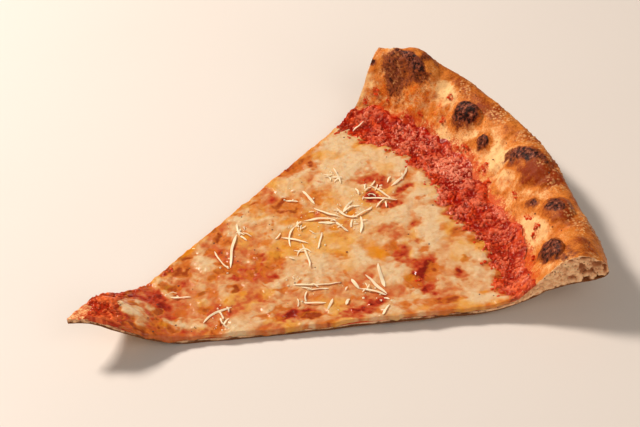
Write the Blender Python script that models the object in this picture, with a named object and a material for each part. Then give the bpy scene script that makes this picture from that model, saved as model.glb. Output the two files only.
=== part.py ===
"""A slice of cheese pizza, cut from a large thin round pie.

Three solids lie on each other: the dough, which is a thin sheet with a puffed rim, a layer of
crushed tomato sauce, and a layer of melted cheese that stops short of the rim. The slice has
taken the shape of a shallow dish: its middle lies flat, and its point and its rim are raised.

Every solid is a fan of upright sections. A section is a closed outline in the plane of one
direction from the slice's point, given as distance from the point and height, and the fan turns
from one cut edge to the other. The two end sections are the cut faces.
"""

import math

import bmesh
import bpy
import numpy as np

MM = 0.001

# Plan of the slice, in millimetres and degrees. The point is the centre of the pie.
SLICE_ANGLE = 46.6
POINT_BLUNT = 0.8  # the point is worn off this far from the pie's centre
POINT_SWELL = 2.6  # how far the soft dough has spread past each straight cut, near the point
POINT_SWELL_MIDDLE = 24.0

# Heights of the layers and the gap between them.
GAP = 0.3
DOUGH_SHEET = 2.3
SAUCE_LAYER = 0.7
SAUCE_BAND = 1.9  # where no cheese covers it
CHEESE_LAYER = 1.1
LAYER_EDGE = 0.4  # what is left of a layer's height at its rounded end
EDGE_ROUND = 3.0  # length over which a layer rounds off at its end
CHEESE_CLEARANCE = 0.5  # from the cheese's end to where the bare sauce swells

# The dish that the slice has sagged into.
POINT_LIFT = 17.5
POINT_BEND_END = 50.0  # from here on the slice lies flat
POINT_BEND_LENGTH = 46.0
DISH_CENTRE = (126.3, 4.9)
DISH_FLAT_RADIUS = 74.0
DISH_RISE_LENGTH = 38.0
DISH_RISE_RIGHT = 13.5
DISH_RISE_LEFT = 19.0
EDGE_CURL = 2.2  # the right-hand cut edge stands up this much along its outer half
EDGE_CURL_START = 80.0
EDGE_CURL_LENGTH = 70.0
EDGE_CURL_SHARE = 0.3  # of the half slice, in from the edge

# The rim, across the slice from the right-hand cut (-1) to the left-hand cut (+1).
RIM_RADIUS = ((-1, 221.0), (-0.6, 220.8), (0, 226.8), (0.45, 227.6), (0.75, 225.6), (1, 217.5))
RIM_HEIGHT = ((-1, 14.5), (-0.75, 15.5), (-0.25, 15.5), (0.15, 14.0), (0.5, 14.0), (0.8, 15.5), (1, 12.0))
RIM_WIDTH = ((-1, 40.0), (-0.5, 34.0), (0, 31.0), (0.5, 28.0), (1, 23.0))
CREST_INSET = ((-1, 18.0), (-0.6, 13.0), (0.6, 11.5), (1, 8.0))
WIDEST_HEIGHT = ((-1, 4.5), (-0.6, 6.5), (0.6, 6.0), (1, 5.0))
UNDER_ROUND = 9.0  # how far in the rim's underside starts to turn up

# Where the layers start and end, as distances from the point.
SAUCE_START = ((-1, 8.5), (1, 13.0))
SAUCE_END = ((-1, 190.0), (-0.45, 197.0), (0, 199.5), (0.22, 204.5), (0.65, 203.0), (0.85, 198.0), (1, 193.0))
CHEESE_START = ((-1, 18.0), (-0.3, 20.0), (0.4, 25.0), (1, 34.0))
CHEESE_END = ((-1, 182.0), (-0.6, 180.5), (0, 180.0), (0.35, 185.5), (0.6, 181.0), (1, 177.0))

# Blisters on the rim: direction in degrees, distance in from the rim's outer edge, the radii
# across and along the slice, and the height.
BLISTERS = (
    (17.8, 14.0, 15.0, 12.0, 6.0),  # the large dome near the left-hand cut
    (9.3, 13.0, 7.5, 7.5, 4.0),
    (5.0, 17.5, 5.5, 5.5, 2.5),
    (-3.4, 12.0, 15.0, 12.0, 4.0),
    (-8.2, 19.5, 6.0, 6.0, 2.2),
    (-13.2, 15.0, 12.0, 11.0, 4.0),
    (-18.2, 21.0, 9.0, 7.0, 4.5),
)

# How finely the sections are drawn.
DOUGH_COLUMNS = 42
LAYER_COLUMNS = 21  # every second column of the dough
BEND_STATIONS = 8
FLAT_STATIONS = 4
RISE_STATIONS = 4
SHOULDER_STATIONS = 4
ROUND_STATIONS = 6
FLAT_END = 160.0

COLOURS = {
    "dough": (0.62, 0.36, 0.14, 1.0),
    "sauce": (0.47, 0.06, 0.03, 1.0),
    "cheese": (0.80, 0.56, 0.28, 1.0),
}
ROUGHNESS = {"dough": 0.6, "sauce": 0.3, "cheese": 0.35}


def eased(x):
    """0 below 0, 1 above 1, and a smooth step between."""
    x = np.clip(x, 0.0, 1.0)
    return x * x * (3 - 2 * x)


def read_smoothly(points, across):
    """The value at one place across the slice, eased from each named point to the next."""
    places = [place for place, value in points]
    i = int(np.clip(np.searchsorted(places, across) - 1, 0, len(points) - 2))
    (left, low), (right, high) = points[i], points[i + 1]
    return low + (high - low) * float(eased((across - left) / (right - left)))


def rim_radius(across):
    """Distance from the point to the rim's outer edge."""
    return read_smoothly(RIM_RADIUS, across)


def direction(across):
    return math.radians(across * SLICE_ANGLE / 2)


def underside(across, along):
    """Height of the sagged sheet's underside above the surface that it lies on."""
    x = along * math.cos(direction(across)) - DISH_CENTRE[0]
    y = along * math.sin(direction(across)) - DISH_CENTRE[1]
    height = POINT_LIFT * eased((POINT_BEND_END - along) / POINT_BEND_LENGTH)
    curl = EDGE_CURL * eased((EDGE_CURL_SHARE - 1 - across) / EDGE_CURL_SHARE)
    height += curl * eased((along - EDGE_CURL_START) / EDGE_CURL_LENGTH)
    if x > 0:
        rise = DISH_RISE_RIGHT + (DISH_RISE_LEFT - DISH_RISE_RIGHT) * (across + 1) / 2
        height += rise * eased((math.hypot(x, y) - DISH_FLAT_RADIUS) / DISH_RISE_LENGTH)
    return float(height)


def plan_point(across, along):
    """Where a place on the slice lies in plan, as (x, y)."""
    swell = POINT_SWELL * max(0.0, 1 - (along / POINT_SWELL_MIDDLE - 1) ** 2) ** 2
    turn = direction(across)
    sideways = swell * across
    x = along * math.cos(turn) - sideways * math.sin(turn)
    y = along * math.sin(turn) + sideways * math.cos(turn)
    return x, y


def blister_height(across, along):
    """What the blisters add to the rim's top at one place."""
    total = 0.0
    for degrees, inset, wide, deep, height in BLISTERS:
        middle = rim_radius(degrees / (SLICE_ANGLE / 2)) - inset
        sideways = along * (direction(across) - math.radians(degrees)) / wide
        outward = (along - middle) / deep
        total += height * max(0.0, 1 - sideways**2 - outward**2) ** 1.5
    return total


def dough_top(across, along):
    """Height of the dough's upper skin: the thin sheet, the shoulder, then the rim's round back."""
    inset = rim_radius(across) - along
    height = read_smoothly(RIM_HEIGHT, across)
    width = read_smoothly(RIM_WIDTH, across)
    crest = read_smoothly(CREST_INSET, across)
    if inset >= crest:
        share = eased((width - inset) / (width - crest))
        skin = DOUGH_SHEET + (height - DOUGH_SHEET) * float(share)
    else:
        widest = read_smoothly(WIDEST_HEIGHT, across)
        skin = widest + (height - widest) * math.sqrt(max(0.0, 1 - ((crest - inset) / crest) ** 2))
    return underside(across, along) + skin + blister_height(across, along)


def dough_bottom(across, along):
    """Height of the dough's underside, which turns up under the rim's outer edge."""
    inset = rim_radius(across) - along
    height = underside(across, along)
    if inset < UNDER_ROUND:
        widest = read_smoothly(WIDEST_HEIGHT, across)
        height += widest * (1 - math.sqrt(max(0.0, 1 - ((UNDER_ROUND - inset) / UNDER_ROUND) ** 2)))
    return height


def rounded(thickness, to_start, to_end):
    """A layer's thickness, rounded down to its edge at both ends."""
    nearest = min(to_start, to_end)
    share = math.sqrt(max(0.0, 1 - (1 - min(nearest / EDGE_ROUND, 1.0)) ** 2))
    return LAYER_EDGE + (thickness - LAYER_EDGE) * share


def sauce_bottom(across, along):
    return dough_top(across, along) + GAP


def sauce_top(across, along):
    """The sauce's top: thin under the cheese, and a thick band past the cheese at both ends."""
    past_cheese = eased((along - read_smoothly(CHEESE_END, across) - CHEESE_CLEARANCE) / EDGE_ROUND)
    before_cheese = eased((read_smoothly(CHEESE_START, across) - CHEESE_CLEARANCE - along) / EDGE_ROUND)
    bare = float(max(past_cheese, before_cheese))
    thickness = SAUCE_LAYER + (SAUCE_BAND - SAUCE_LAYER) * bare
    to_start = along - read_smoothly(SAUCE_START, across)
    to_end = read_smoothly(SAUCE_END, across) - along
    return sauce_bottom(across, along) + rounded(thickness, to_start, to_end)


def cheese_bottom(across, along):
    return dough_top(across, along) + GAP + SAUCE_LAYER + GAP


def cheese_top(across, along):
    to_start = along - read_smoothly(CHEESE_START, across)
    to_end = read_smoothly(CHEESE_END, across) - along
    return cheese_bottom(across, along) + rounded(CHEESE_LAYER, to_start, to_end)


def stretch(start, end, steps):
    """Evenly spaced distances from start to just short of end."""
    return list(np.linspace(start, end, steps, endpoint=False))


def quarter_round(start, end, steps):
    """Distances from start to end, closing up towards the end as points on a quarter circle."""
    return [start + (end - start) * math.sin(math.pi / 2 * i / steps) for i in range(steps + 1)]


def sauce_places(across):
    """Where a section is measured from the sauce's start to its end, closer where it swells."""
    first = read_smoothly(SAUCE_START, across)
    last = read_smoothly(SAUCE_END, across)
    swell_in = read_smoothly(CHEESE_START, across) - CHEESE_CLEARANCE
    swell_out = read_smoothly(CHEESE_END, across) + CHEESE_CLEARANCE
    places = quarter_round(first + EDGE_ROUND, first, 3)[:0:-1]
    places += stretch(first + EDGE_ROUND, swell_in - EDGE_ROUND, 3)
    places += stretch(swell_in - EDGE_ROUND, swell_in, 2)
    places += stretch(swell_in, POINT_BEND_END, BEND_STATIONS)
    places += stretch(POINT_BEND_END, FLAT_END, FLAT_STATIONS)
    places += stretch(FLAT_END, swell_out, RISE_STATIONS)
    places += stretch(swell_out, swell_out + EDGE_ROUND, 2)
    places += stretch(swell_out + EDGE_ROUND, last - EDGE_ROUND, 2)
    places += quarter_round(last - EDGE_ROUND, last, 3)
    return places


def dough_section(across):
    """The dough's closed outline in one direction, as (distance, height)."""
    edge = rim_radius(across)
    crest = edge - read_smoothly(CREST_INSET, across)
    sauce = sauce_places(across)
    upper = stretch(POINT_BLUNT, sauce[0], 2) + sauce[:-1]
    upper += stretch(sauce[-1], crest, SHOULDER_STATIONS)
    upper += quarter_round(crest, edge, ROUND_STATIONS)
    lower = stretch(POINT_BLUNT, POINT_BEND_END, BEND_STATIONS + 3)
    lower += stretch(POINT_BEND_END, FLAT_END, FLAT_STATIONS)
    lower += stretch(FLAT_END, edge - UNDER_ROUND, RISE_STATIONS + 4)
    lower += quarter_round(edge - UNDER_ROUND, edge, ROUND_STATIONS - 1)
    outline = [(along, dough_bottom(across, along)) for along in lower]
    outline += [(along, dough_top(across, along)) for along in reversed(upper[:-1])]
    return outline


def layer_section(across, places, bottom, top):
    """A layer's closed outline in one direction, as (distance, height)."""
    outline = [(along, bottom(across, along)) for along in places]
    outline += [(along, top(across, along)) for along in reversed(places)]
    return outline


def sauce_section(across):
    return layer_section(across, sauce_places(across), sauce_bottom, sauce_top)


def cheese_section(across):
    first = read_smoothly(CHEESE_START, across)
    last = read_smoothly(CHEESE_END, across)
    places = quarter_round(first + EDGE_ROUND, first, 3)[:0:-1]
    places += stretch(first + EDGE_ROUND, POINT_BEND_END, BEND_STATIONS)
    places += stretch(POINT_BEND_END, FLAT_END, FLAT_STATIONS)
    places += stretch(FLAT_END, last - EDGE_ROUND, RISE_STATIONS)
    places += quarter_round(last - EDGE_ROUND, last, 3)
    return layer_section(across, places, cheese_bottom, cheese_top)


def material(name):
    made = bpy.data.materials.new(name)
    made.use_nodes = True
    surface = made.node_tree.nodes["Principled BSDF"]
    surface.inputs["Base Color"].default_value = COLOURS[name]
    surface.inputs["Roughness"].default_value = ROUGHNESS[name]
    surface.inputs["Metallic"].default_value = 0.0
    return made


def fan(name, section, columns):
    """A solid from one section for each direction, joined side to side and closed at the cuts."""
    mesh = bmesh.new()
    rings = []
    for i in range(columns + 1):
        across = -1 + 2 * i / columns
        ring = []
        for along, height in section(across):
            x, y = plan_point(across, along)
            ring.append(mesh.verts.new((x * MM, y * MM, height * MM)))
        rings.append(ring)
    count = len(rings[0])
    for left, right in zip(rings, rings[1:]):
        for k in range(count):
            after = (k + 1) % count
            mesh.faces.new((left[k], left[after], right[after], right[k]))
    mesh.faces.new(rings[0][::-1])
    mesh.faces.new(rings[-1])
    mesh.normal_update()
    bmesh.ops.triangulate(mesh, faces=mesh.faces[:])
    bmesh.ops.recalc_face_normals(mesh, faces=mesh.faces[:])
    data = bpy.data.meshes.new(name)
    mesh.to_mesh(data)
    mesh.free()
    data.shade_smooth()
    data.set_sharp_from_angle(angle=math.radians(40))
    data.materials.append(material(name))
    solid = bpy.data.objects.new(name, data)
    bpy.context.collection.objects.link(solid)
    return solid


def stand_at_origin(solids):
    """Put the origin under the middle of the whole slice's box, on the surface that it lies on."""
    corners = np.array([tuple(v.co) for solid in solids for v in solid.data.vertices])
    low = corners.min(axis=0)
    high = corners.max(axis=0)
    for solid in solids:
        for vertex in solid.data.vertices:
            vertex.co.x -= (low[0] + high[0]) / 2
            vertex.co.y -= (low[1] + high[1]) / 2
            vertex.co.z -= low[2]


for leftover in list(bpy.data.objects):
    bpy.data.objects.remove(leftover, do_unlink=True)

slice_solids = [
    fan("dough", dough_section, DOUGH_COLUMNS),
    fan("sauce", sauce_section, LAYER_COLUMNS),
    fan("cheese", cheese_section, LAYER_COLUMNS),
]
stand_at_origin(slice_solids)
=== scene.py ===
# %% [markdown]
# # A slice of cheese pizza
#
# The slice is cut from a large, thin, round pie baked on a stone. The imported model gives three
# solids that lie on each other: the dough, the tomato sauce and the cheese. They have the right
# size and the right sag, and they are smooth. Each is replaced here by a fine mesh of the same
# form, with the unevenness that baking gives it, and with a material for what it is. Grated
# cheese, bits of tomato and other small things are laid on top.
#
# One could sculpt all this by hand. It is made from named sizes and seeded noise instead, so that
# the same slice comes out each time and any size can be changed in one place.

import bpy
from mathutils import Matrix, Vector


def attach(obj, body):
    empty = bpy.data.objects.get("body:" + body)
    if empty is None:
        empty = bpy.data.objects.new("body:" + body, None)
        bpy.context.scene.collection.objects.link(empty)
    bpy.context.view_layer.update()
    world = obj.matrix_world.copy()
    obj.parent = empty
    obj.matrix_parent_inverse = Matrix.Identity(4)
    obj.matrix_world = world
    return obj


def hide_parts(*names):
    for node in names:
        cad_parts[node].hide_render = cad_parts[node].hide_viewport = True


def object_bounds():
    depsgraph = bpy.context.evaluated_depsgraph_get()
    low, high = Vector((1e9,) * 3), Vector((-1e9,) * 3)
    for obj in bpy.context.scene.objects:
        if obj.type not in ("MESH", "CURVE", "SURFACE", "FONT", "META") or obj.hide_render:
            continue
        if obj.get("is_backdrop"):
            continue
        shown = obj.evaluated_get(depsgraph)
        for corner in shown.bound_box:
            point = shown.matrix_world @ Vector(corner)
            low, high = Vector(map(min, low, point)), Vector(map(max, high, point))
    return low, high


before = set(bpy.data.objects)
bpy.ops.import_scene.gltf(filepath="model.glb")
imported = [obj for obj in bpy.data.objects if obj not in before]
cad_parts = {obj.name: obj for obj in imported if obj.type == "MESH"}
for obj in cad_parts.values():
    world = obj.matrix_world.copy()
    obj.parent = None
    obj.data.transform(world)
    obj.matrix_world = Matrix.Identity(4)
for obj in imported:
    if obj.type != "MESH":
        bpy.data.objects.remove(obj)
cad_low, cad_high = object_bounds()
print("solids:", sorted(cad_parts))

# %% The other modules, and the unit
import itertools
import math

import bmesh
import bpy
import numpy as np
from mathutils import Matrix, Vector

MM = 0.001  # Blender's unit here is the metre, and every size below is in millimetres
print("size in mm:", [round(side / MM, 1) for side in cad_high - cad_low])

# %% [markdown]
# ## Camera, floor and light
#
# The camera looks down on the slice from the side of its point, at the angle at which a plate
# stands before someone at a table. A long lens from three quarters of a metre keeps the near and
# the far cut close to parallel. The floor is plain and pale, so that the food's own colours show.

# %% The camera
AIM = (6.4, 7.5, 18.0)
CAMERA_DISTANCE = 757.4
CAMERA_ELEVATION = math.radians(40.65)
CAMERA_TURN = math.radians(28.36)  # clockwise from straight along +Y
CAMERA_ROLL = math.radians(-1.48)
LENS = 100.0

forward = Vector(
    (
        math.sin(CAMERA_TURN) * math.cos(CAMERA_ELEVATION),
        math.cos(CAMERA_TURN) * math.cos(CAMERA_ELEVATION),
        -math.sin(CAMERA_ELEVATION),
    )
)
level = Vector((math.cos(CAMERA_TURN), -math.sin(CAMERA_TURN), 0.0))
upright = level.cross(forward)
right = level * math.cos(CAMERA_ROLL) + upright * math.sin(CAMERA_ROLL)
up = upright * math.cos(CAMERA_ROLL) - level * math.sin(CAMERA_ROLL)
camera = bpy.data.objects.new("camera", bpy.data.cameras.new("camera"))
camera.data.lens = LENS
camera.matrix_world = Matrix.Translation(
    (Vector(AIM) - forward * CAMERA_DISTANCE) * MM
) @ Matrix((right, up, -forward)).transposed().to_4x4()
bpy.context.collection.objects.link(camera)
bpy.context.scene.camera = camera
print("camera at", [round(value, 3) for value in camera.location])


# %% Colours and nodes
def paint(code):
    """An sRGB hex colour as the linear values that Blender's nodes work in."""
    channels = [int(code[i : i + 2], 16) / 255 for i in (1, 3, 5)]
    linear = [c / 12.92 if c <= 0.04045 else ((c + 0.055) / 1.055) ** 2.4 for c in channels]
    return (*linear, 1.0)


def start_material(name):
    """An empty material, and the function that adds a node with its settings and links to it."""
    made = bpy.data.materials.new(name)
    made.use_nodes = True
    tree = made.node_tree
    tree.nodes.clear()

    def add(kind, inputs=(), give=None, **settings):
        node = tree.nodes.new("ShaderNode" + kind)
        for setting, value in settings.items():
            setattr(node, setting, value)
        for key, value in dict(inputs).items():
            named = [s for s in node.inputs if s.enabled and s.name == key]
            socket = named[0] if named else node.inputs[key]
            if isinstance(value, bpy.types.NodeSocket):
                tree.links.new(value, socket)
            else:
                socket.default_value = value
        return next((s for s in node.outputs if s.enabled and give in (None, s.name)), None)

    return made, add


COLOUR = {"data_type": "RGBA"}
STEP = {"interpolation_type": "SMOOTHSTEP"}
print("mid grey in linear values:", paint("#808080")[0])


# %% The floor
FLOOR_SIDE = 6000.0

floor_paint, add = start_material("matt_painted_board")
grain = add("TexNoise", {"Scale": 40.0, "Detail": 3.0})
tone = add("Mix", {"Factor": grain, "A": paint("#e6ded6"), "B": paint("#eae3dc")}, **COLOUR)
coat = add("BsdfPrincipled", {"Base Color": tone, "Roughness": 0.55})
add("OutputMaterial", {"Surface": coat})
corner = FLOOR_SIDE / 2 * MM
FLOOR_DROP = -0.05  # just under the slice, so that the two surfaces never coincide
floor_mesh = bpy.data.meshes.new("floor")
floor_mesh.from_pydata(
    [(x * corner, y * corner, FLOOR_DROP * MM) for x, y in ((-1, -1), (1, -1), (1, 1), (-1, 1))],
    [],
    [(0, 1, 2, 3)],
)
floor_mesh.materials.append(floor_paint)
floor = bpy.data.objects.new("floor", floor_mesh)
bpy.context.collection.objects.link(floor)
floor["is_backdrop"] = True
print("floor side in m:", FLOOR_SIDE * MM)

# %% [markdown]
# A soft box behind the slice and to its left gives the wet sauce and the oily cheese their
# highlights, and throws the shadow towards the camera. A wide, weak one on the camera's side
# fills the shadow, and the pale room does the rest. The colours are judged against the food, so
# the plain Standard view transform is used, which leaves them as they are.

# %% The lights
LIGHTS = {
    # name: (place in mm, side in mm, watts, colour)
    "key_soft_box": ((-420.0, 760.0, 900.0), 240.0, 17.0, "#fff3e8"),
    "fill_soft_box": ((100.0, -900.0, 700.0), 1000.0, 4.6, "#fff2e6"),
}
ROOM_LIGHT = 0.19

for name, (place, side, watts, colour) in LIGHTS.items():
    light = bpy.data.lights.new(name, "AREA")
    light.size = side * MM
    light.energy = watts
    light.color = paint(colour)[:3]
    lamp = bpy.data.objects.new(name, light)
    lamp.location = Vector(place) * MM
    lamp.rotation_euler = (Vector(AIM) * MM - lamp.location).to_track_quat("-Z", "Y").to_euler()
    bpy.context.collection.objects.link(lamp)
room = bpy.data.worlds.new("pale_room")
room.use_nodes = True
room.node_tree.nodes["Background"].inputs["Color"].default_value = paint("#fff8f0")
room.node_tree.nodes["Background"].inputs["Strength"].default_value = ROOM_LIGHT
bpy.context.scene.world = room
bpy.context.scene.view_settings.view_transform = "Standard"
print("lights:", ", ".join(LIGHTS))

# %% [markdown]
# ## The form of the slice
#
# A place on the slice has two numbers. `across` goes from -1 at the right-hand cut to +1 at the
# left-hand cut, and `along` is the distance from the pie's centre, where the point is. The sizes
# and the functions below are the ones that the solids were made with, here for whole arrays of
# places, so that a fine mesh can be made over the same form.

# %% Sizes of the dough, as in the solids
SLICE_ANGLE = 46.6
POINT_BLUNT = 0.8
POINT_SWELL = 2.6
POINT_SWELL_MIDDLE = 24.0
POINT_LIFT = 17.5
POINT_BEND_END = 50.0
POINT_BEND_LENGTH = 46.0
DISH_CENTRE = (126.3, 4.9)
DISH_FLAT_RADIUS = 74.0
DISH_RISE_LENGTH = 38.0
DISH_RISE_RIGHT = 13.5
DISH_RISE_LEFT = 19.0
EDGE_CURL = 2.2
EDGE_CURL_START = 80.0
EDGE_CURL_LENGTH = 70.0
EDGE_CURL_SHARE = 0.3
DOUGH_SHEET = 2.3
UNDER_ROUND = 9.0
RIM_RADIUS = ((-1, 221.0), (-0.6, 220.8), (0, 226.8), (0.45, 227.6), (0.75, 225.6), (1, 217.5))
RIM_HEIGHT = ((-1, 14.5), (-0.75, 15.5), (-0.25, 15.5), (0.15, 14.0), (0.5, 14.0), (0.8, 15.5), (1, 12.0))
RIM_WIDTH = ((-1, 40.0), (-0.5, 34.0), (0, 31.0), (0.5, 28.0), (1, 23.0))
CREST_INSET = ((-1, 18.0), (-0.6, 13.0), (0.6, 11.5), (1, 8.0))
WIDEST_HEIGHT = ((-1, 4.5), (-0.6, 6.5), (0.6, 6.0), (1, 5.0))
print("the rim stands up to", max(height for _, height in RIM_HEIGHT), "mm above its underside")


# %% Reading the sizes
def eased(x):
    """0 below 0, 1 above 1, and a smooth step between."""
    x = np.clip(x, 0.0, 1.0)
    return x * x * (3 - 2 * x)


def read_smoothly(points, across):
    """The value at places across the slice, eased from each named point to the next."""
    places, values = np.array(points, float).T
    i = np.clip(np.searchsorted(places, across) - 1, 0, len(points) - 2)
    share = eased((across - places[i]) / (places[i + 1] - places[i]))
    return values[i] + (values[i + 1] - values[i]) * share


def direction(across):
    """The direction of a place from the pie's centre, in radians."""
    return across * math.radians(SLICE_ANGLE / 2)


def rim_radius(across):
    return read_smoothly(RIM_RADIUS, across)


print("rim radius in the middle:", float(rim_radius(0.0)))


# %% The sagged sheet
def underside(across, along):
    """Height of the sheet's underside above the surface that the slice lies on."""
    x = along * np.cos(direction(across)) - DISH_CENTRE[0]
    y = along * np.sin(direction(across)) - DISH_CENTRE[1]
    height = POINT_LIFT * eased((POINT_BEND_END - along) / POINT_BEND_LENGTH)
    curl = EDGE_CURL * eased((EDGE_CURL_SHARE - 1 - across) / EDGE_CURL_SHARE)
    height = height + curl * eased((along - EDGE_CURL_START) / EDGE_CURL_LENGTH)
    rise = DISH_RISE_RIGHT + (DISH_RISE_LEFT - DISH_RISE_RIGHT) * (across + 1) / 2
    dished = rise * eased((np.hypot(x, y) - DISH_FLAT_RADIUS) / DISH_RISE_LENGTH)
    return height + np.where(x > 0, dished, 0.0)


def plan_point(across, along):
    """Where a place lies in plan, from the pie's centre, as (x, y)."""
    swell = POINT_SWELL * np.maximum(0.0, 1 - (along / POINT_SWELL_MIDDLE - 1) ** 2) ** 2
    turn = direction(across)
    sideways = swell * across
    x = along * np.cos(turn) - sideways * np.sin(turn)
    y = along * np.sin(turn) + sideways * np.cos(turn)
    return x, y


# %% [markdown]
# ## Noise
#
# Nothing on baked food repeats, so every surface below is roughened with noise. Two kinds do for
# all of it. Soft noise gives hills of about a given size: it picks a number for each corner of a
# grid and eases between them. Cells give rounded lumps, bubbles and flecks: each cell of the grid
# holds one scattered centre, and a place belongs to the nearest. Both get their numbers from a
# hash of the cell's place, which is the same on every computer.

# %% A number for each cell
HASH_FACTORS = (0x9E3779B1, 0x85EBCA77, 0xC2B2AE3D)
HASH_STIR = 0x2C1B3C6D
SEED_STEP = 7919
SEED_START = 17


def hashed(seed, *cells):
    """A repeatable number from 0 to 1 for each cell of a grid."""
    mixed = np.full(np.shape(cells[0]), seed * SEED_STEP + SEED_START, np.uint32)
    with np.errstate(over="ignore"):  # the products run over 32 bits, and only their ends are kept
        for cell, factor in zip(cells, HASH_FACTORS):
            whole = np.asarray(cell).astype(np.int64).astype(np.uint32)
            mixed = mixed ^ (whole * np.uint32(factor))
            mixed = (mixed ^ (mixed >> np.uint32(15))) * np.uint32(HASH_STIR)
            mixed = mixed ^ (mixed >> np.uint32(12))
    return mixed / 2.0**32


print("three hashed numbers:", np.round(hashed(1, np.arange(3)), 3))


# %% Soft noise
def soft_noise(seed, size, *coordinates):
    """Smooth noise from -1 to 1, with hills about size across."""
    scaled = [np.asarray(values, float) / size for values in coordinates]
    cells = [np.floor(values) for values in scaled]
    shares = [eased(values - cell) for values, cell in zip(scaled, cells)]
    total = 0.0
    for corner in itertools.product((0, 1), repeat=len(scaled)):
        weight = 1.0
        for step, share in zip(corner, shares):
            weight = weight * (share if step else 1 - share)
        total = total + weight * hashed(seed, *(cell + step for cell, step in zip(cells, corner)))
    return total * 2 - 1


NOISE_SPREAD = 1.4  # the layers even each other out, and this brings the sum near -1 to 1 again


def layered_noise(seed, size, layers, *coordinates):
    """Soft noise on top of itself, each layer half as wide and half as strong."""
    total = 0.0
    for layer in range(layers):
        total = total + soft_noise(seed + layer, size / 2**layer, *coordinates) / 2**layer
    return total / (2 - 0.5 ** (layers - 1)) * NOISE_SPREAD


sample = layered_noise(1, 10.0, 3, np.arange(2000.0), np.zeros(2000))
print("spread of layered noise:", round(float(sample.std()), 2))


# %% Cells
AXIS_SEED_STEP = 31  # from the seed of a centre's first coordinate to that of its next


def nearest_cell(seed, size, *coordinates):
    """Distance to the nearest scattered centre as a share of size, and that centre's number."""
    scaled = [np.asarray(values, float) / size for values in coordinates]
    home = [np.floor(values) for values in scaled]
    best = np.full(np.shape(scaled[0]), np.inf)
    number = np.zeros(np.shape(scaled[0]))
    for step in itertools.product((-1, 0, 1), repeat=len(scaled)):
        cell = [values + move for values, move in zip(home, step)]
        away = 0.0
        for axis, values in enumerate(scaled):
            centre = cell[axis] + hashed(seed + AXIS_SEED_STEP * (axis + 1), *cell)
            away = away + (centre - values) ** 2
        number = np.where(away < best, hashed(seed, *cell), number)
        best = np.minimum(best, away)
    return np.sqrt(best), number


sample, _ = nearest_cell(1, 1.0, np.linspace(0, 90, 2000), np.zeros(2000))
print("middle distance to a centre:", round(float(np.median(sample)), 2), "of the size")

# %% [markdown]
# A place becomes a point in the frame in two steps: where it lies in plan from the pie's centre,
# and then the shift to the frame's origin. Its height comes from the function of its own layer. A
# hand-held wheel never cuts quite straight, so noise also moves the points near a cut inward a
# little, and leaves both ends of the cut where they are.

# %% From the slice to the frame
# The solids' box is centred on the frame's origin, so its corner says where the pie's centre is.
OUTLINE_DIRECTIONS = 43  # as many as the solid has
outline = np.linspace(-1, 1, OUTLINE_DIRECTIONS)
outline_x, outline_y = plan_point(outline, rim_radius(outline))
CENTRE_X = cad_high.x / MM - outline_x.max()
CENTRE_Y = cad_high.y / MM - outline_y.max()
CUT_WANDER = 0.8  # how far a cut strays inward from a straight line
WANDER_SIZE = 9.0  # from one bend of a cut to the next
WANDER_NEARNESS = 12  # the higher it is, the fewer points beside the cut stray with it
RIM_STRAIGHT = 25.0  # how far from the rim a cut starts to stray fully
POINT_STRAIGHT = 12.0  # and how far from the point


def in_frame(across, along, height):
    """Points in the frame, in millimetres, for places on the slice; the cuts wander a little."""
    x, y = plan_point(across, along)
    stray = 0.5 + 0.7 * layered_noise(31, WANDER_SIZE, 4, along, 5.0 * np.sign(across) + 0 * along)
    stray = CUT_WANDER * np.clip(stray, 0, 1) * across * np.abs(across) ** WANDER_NEARNESS
    stray = stray * eased((rim_radius(across) - along) / RIM_STRAIGHT) * eased(along / POINT_STRAIGHT)
    x = x + stray * np.sin(direction(across)) + CENTRE_X
    y = y - stray * np.cos(direction(across)) + CENTRE_Y
    return np.stack(np.broadcast_arrays(x, y, height), axis=-1)


print("the pie's centre is at", round(CENTRE_X, 2), round(CENTRE_Y, 2))

# %% [markdown]
# ## Blisters and the rim
#
# In a very hot oven, gas pockets in the rim blow up into thin domes, and these char first. Each
# blister has a place, two radii and a height. The ones that the solids have are repeated here;
# their exponent says how sharply the dome's foot meets the rim: a small scorched bubble has a
# crisp foot, and a broad swelling fades out.

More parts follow.
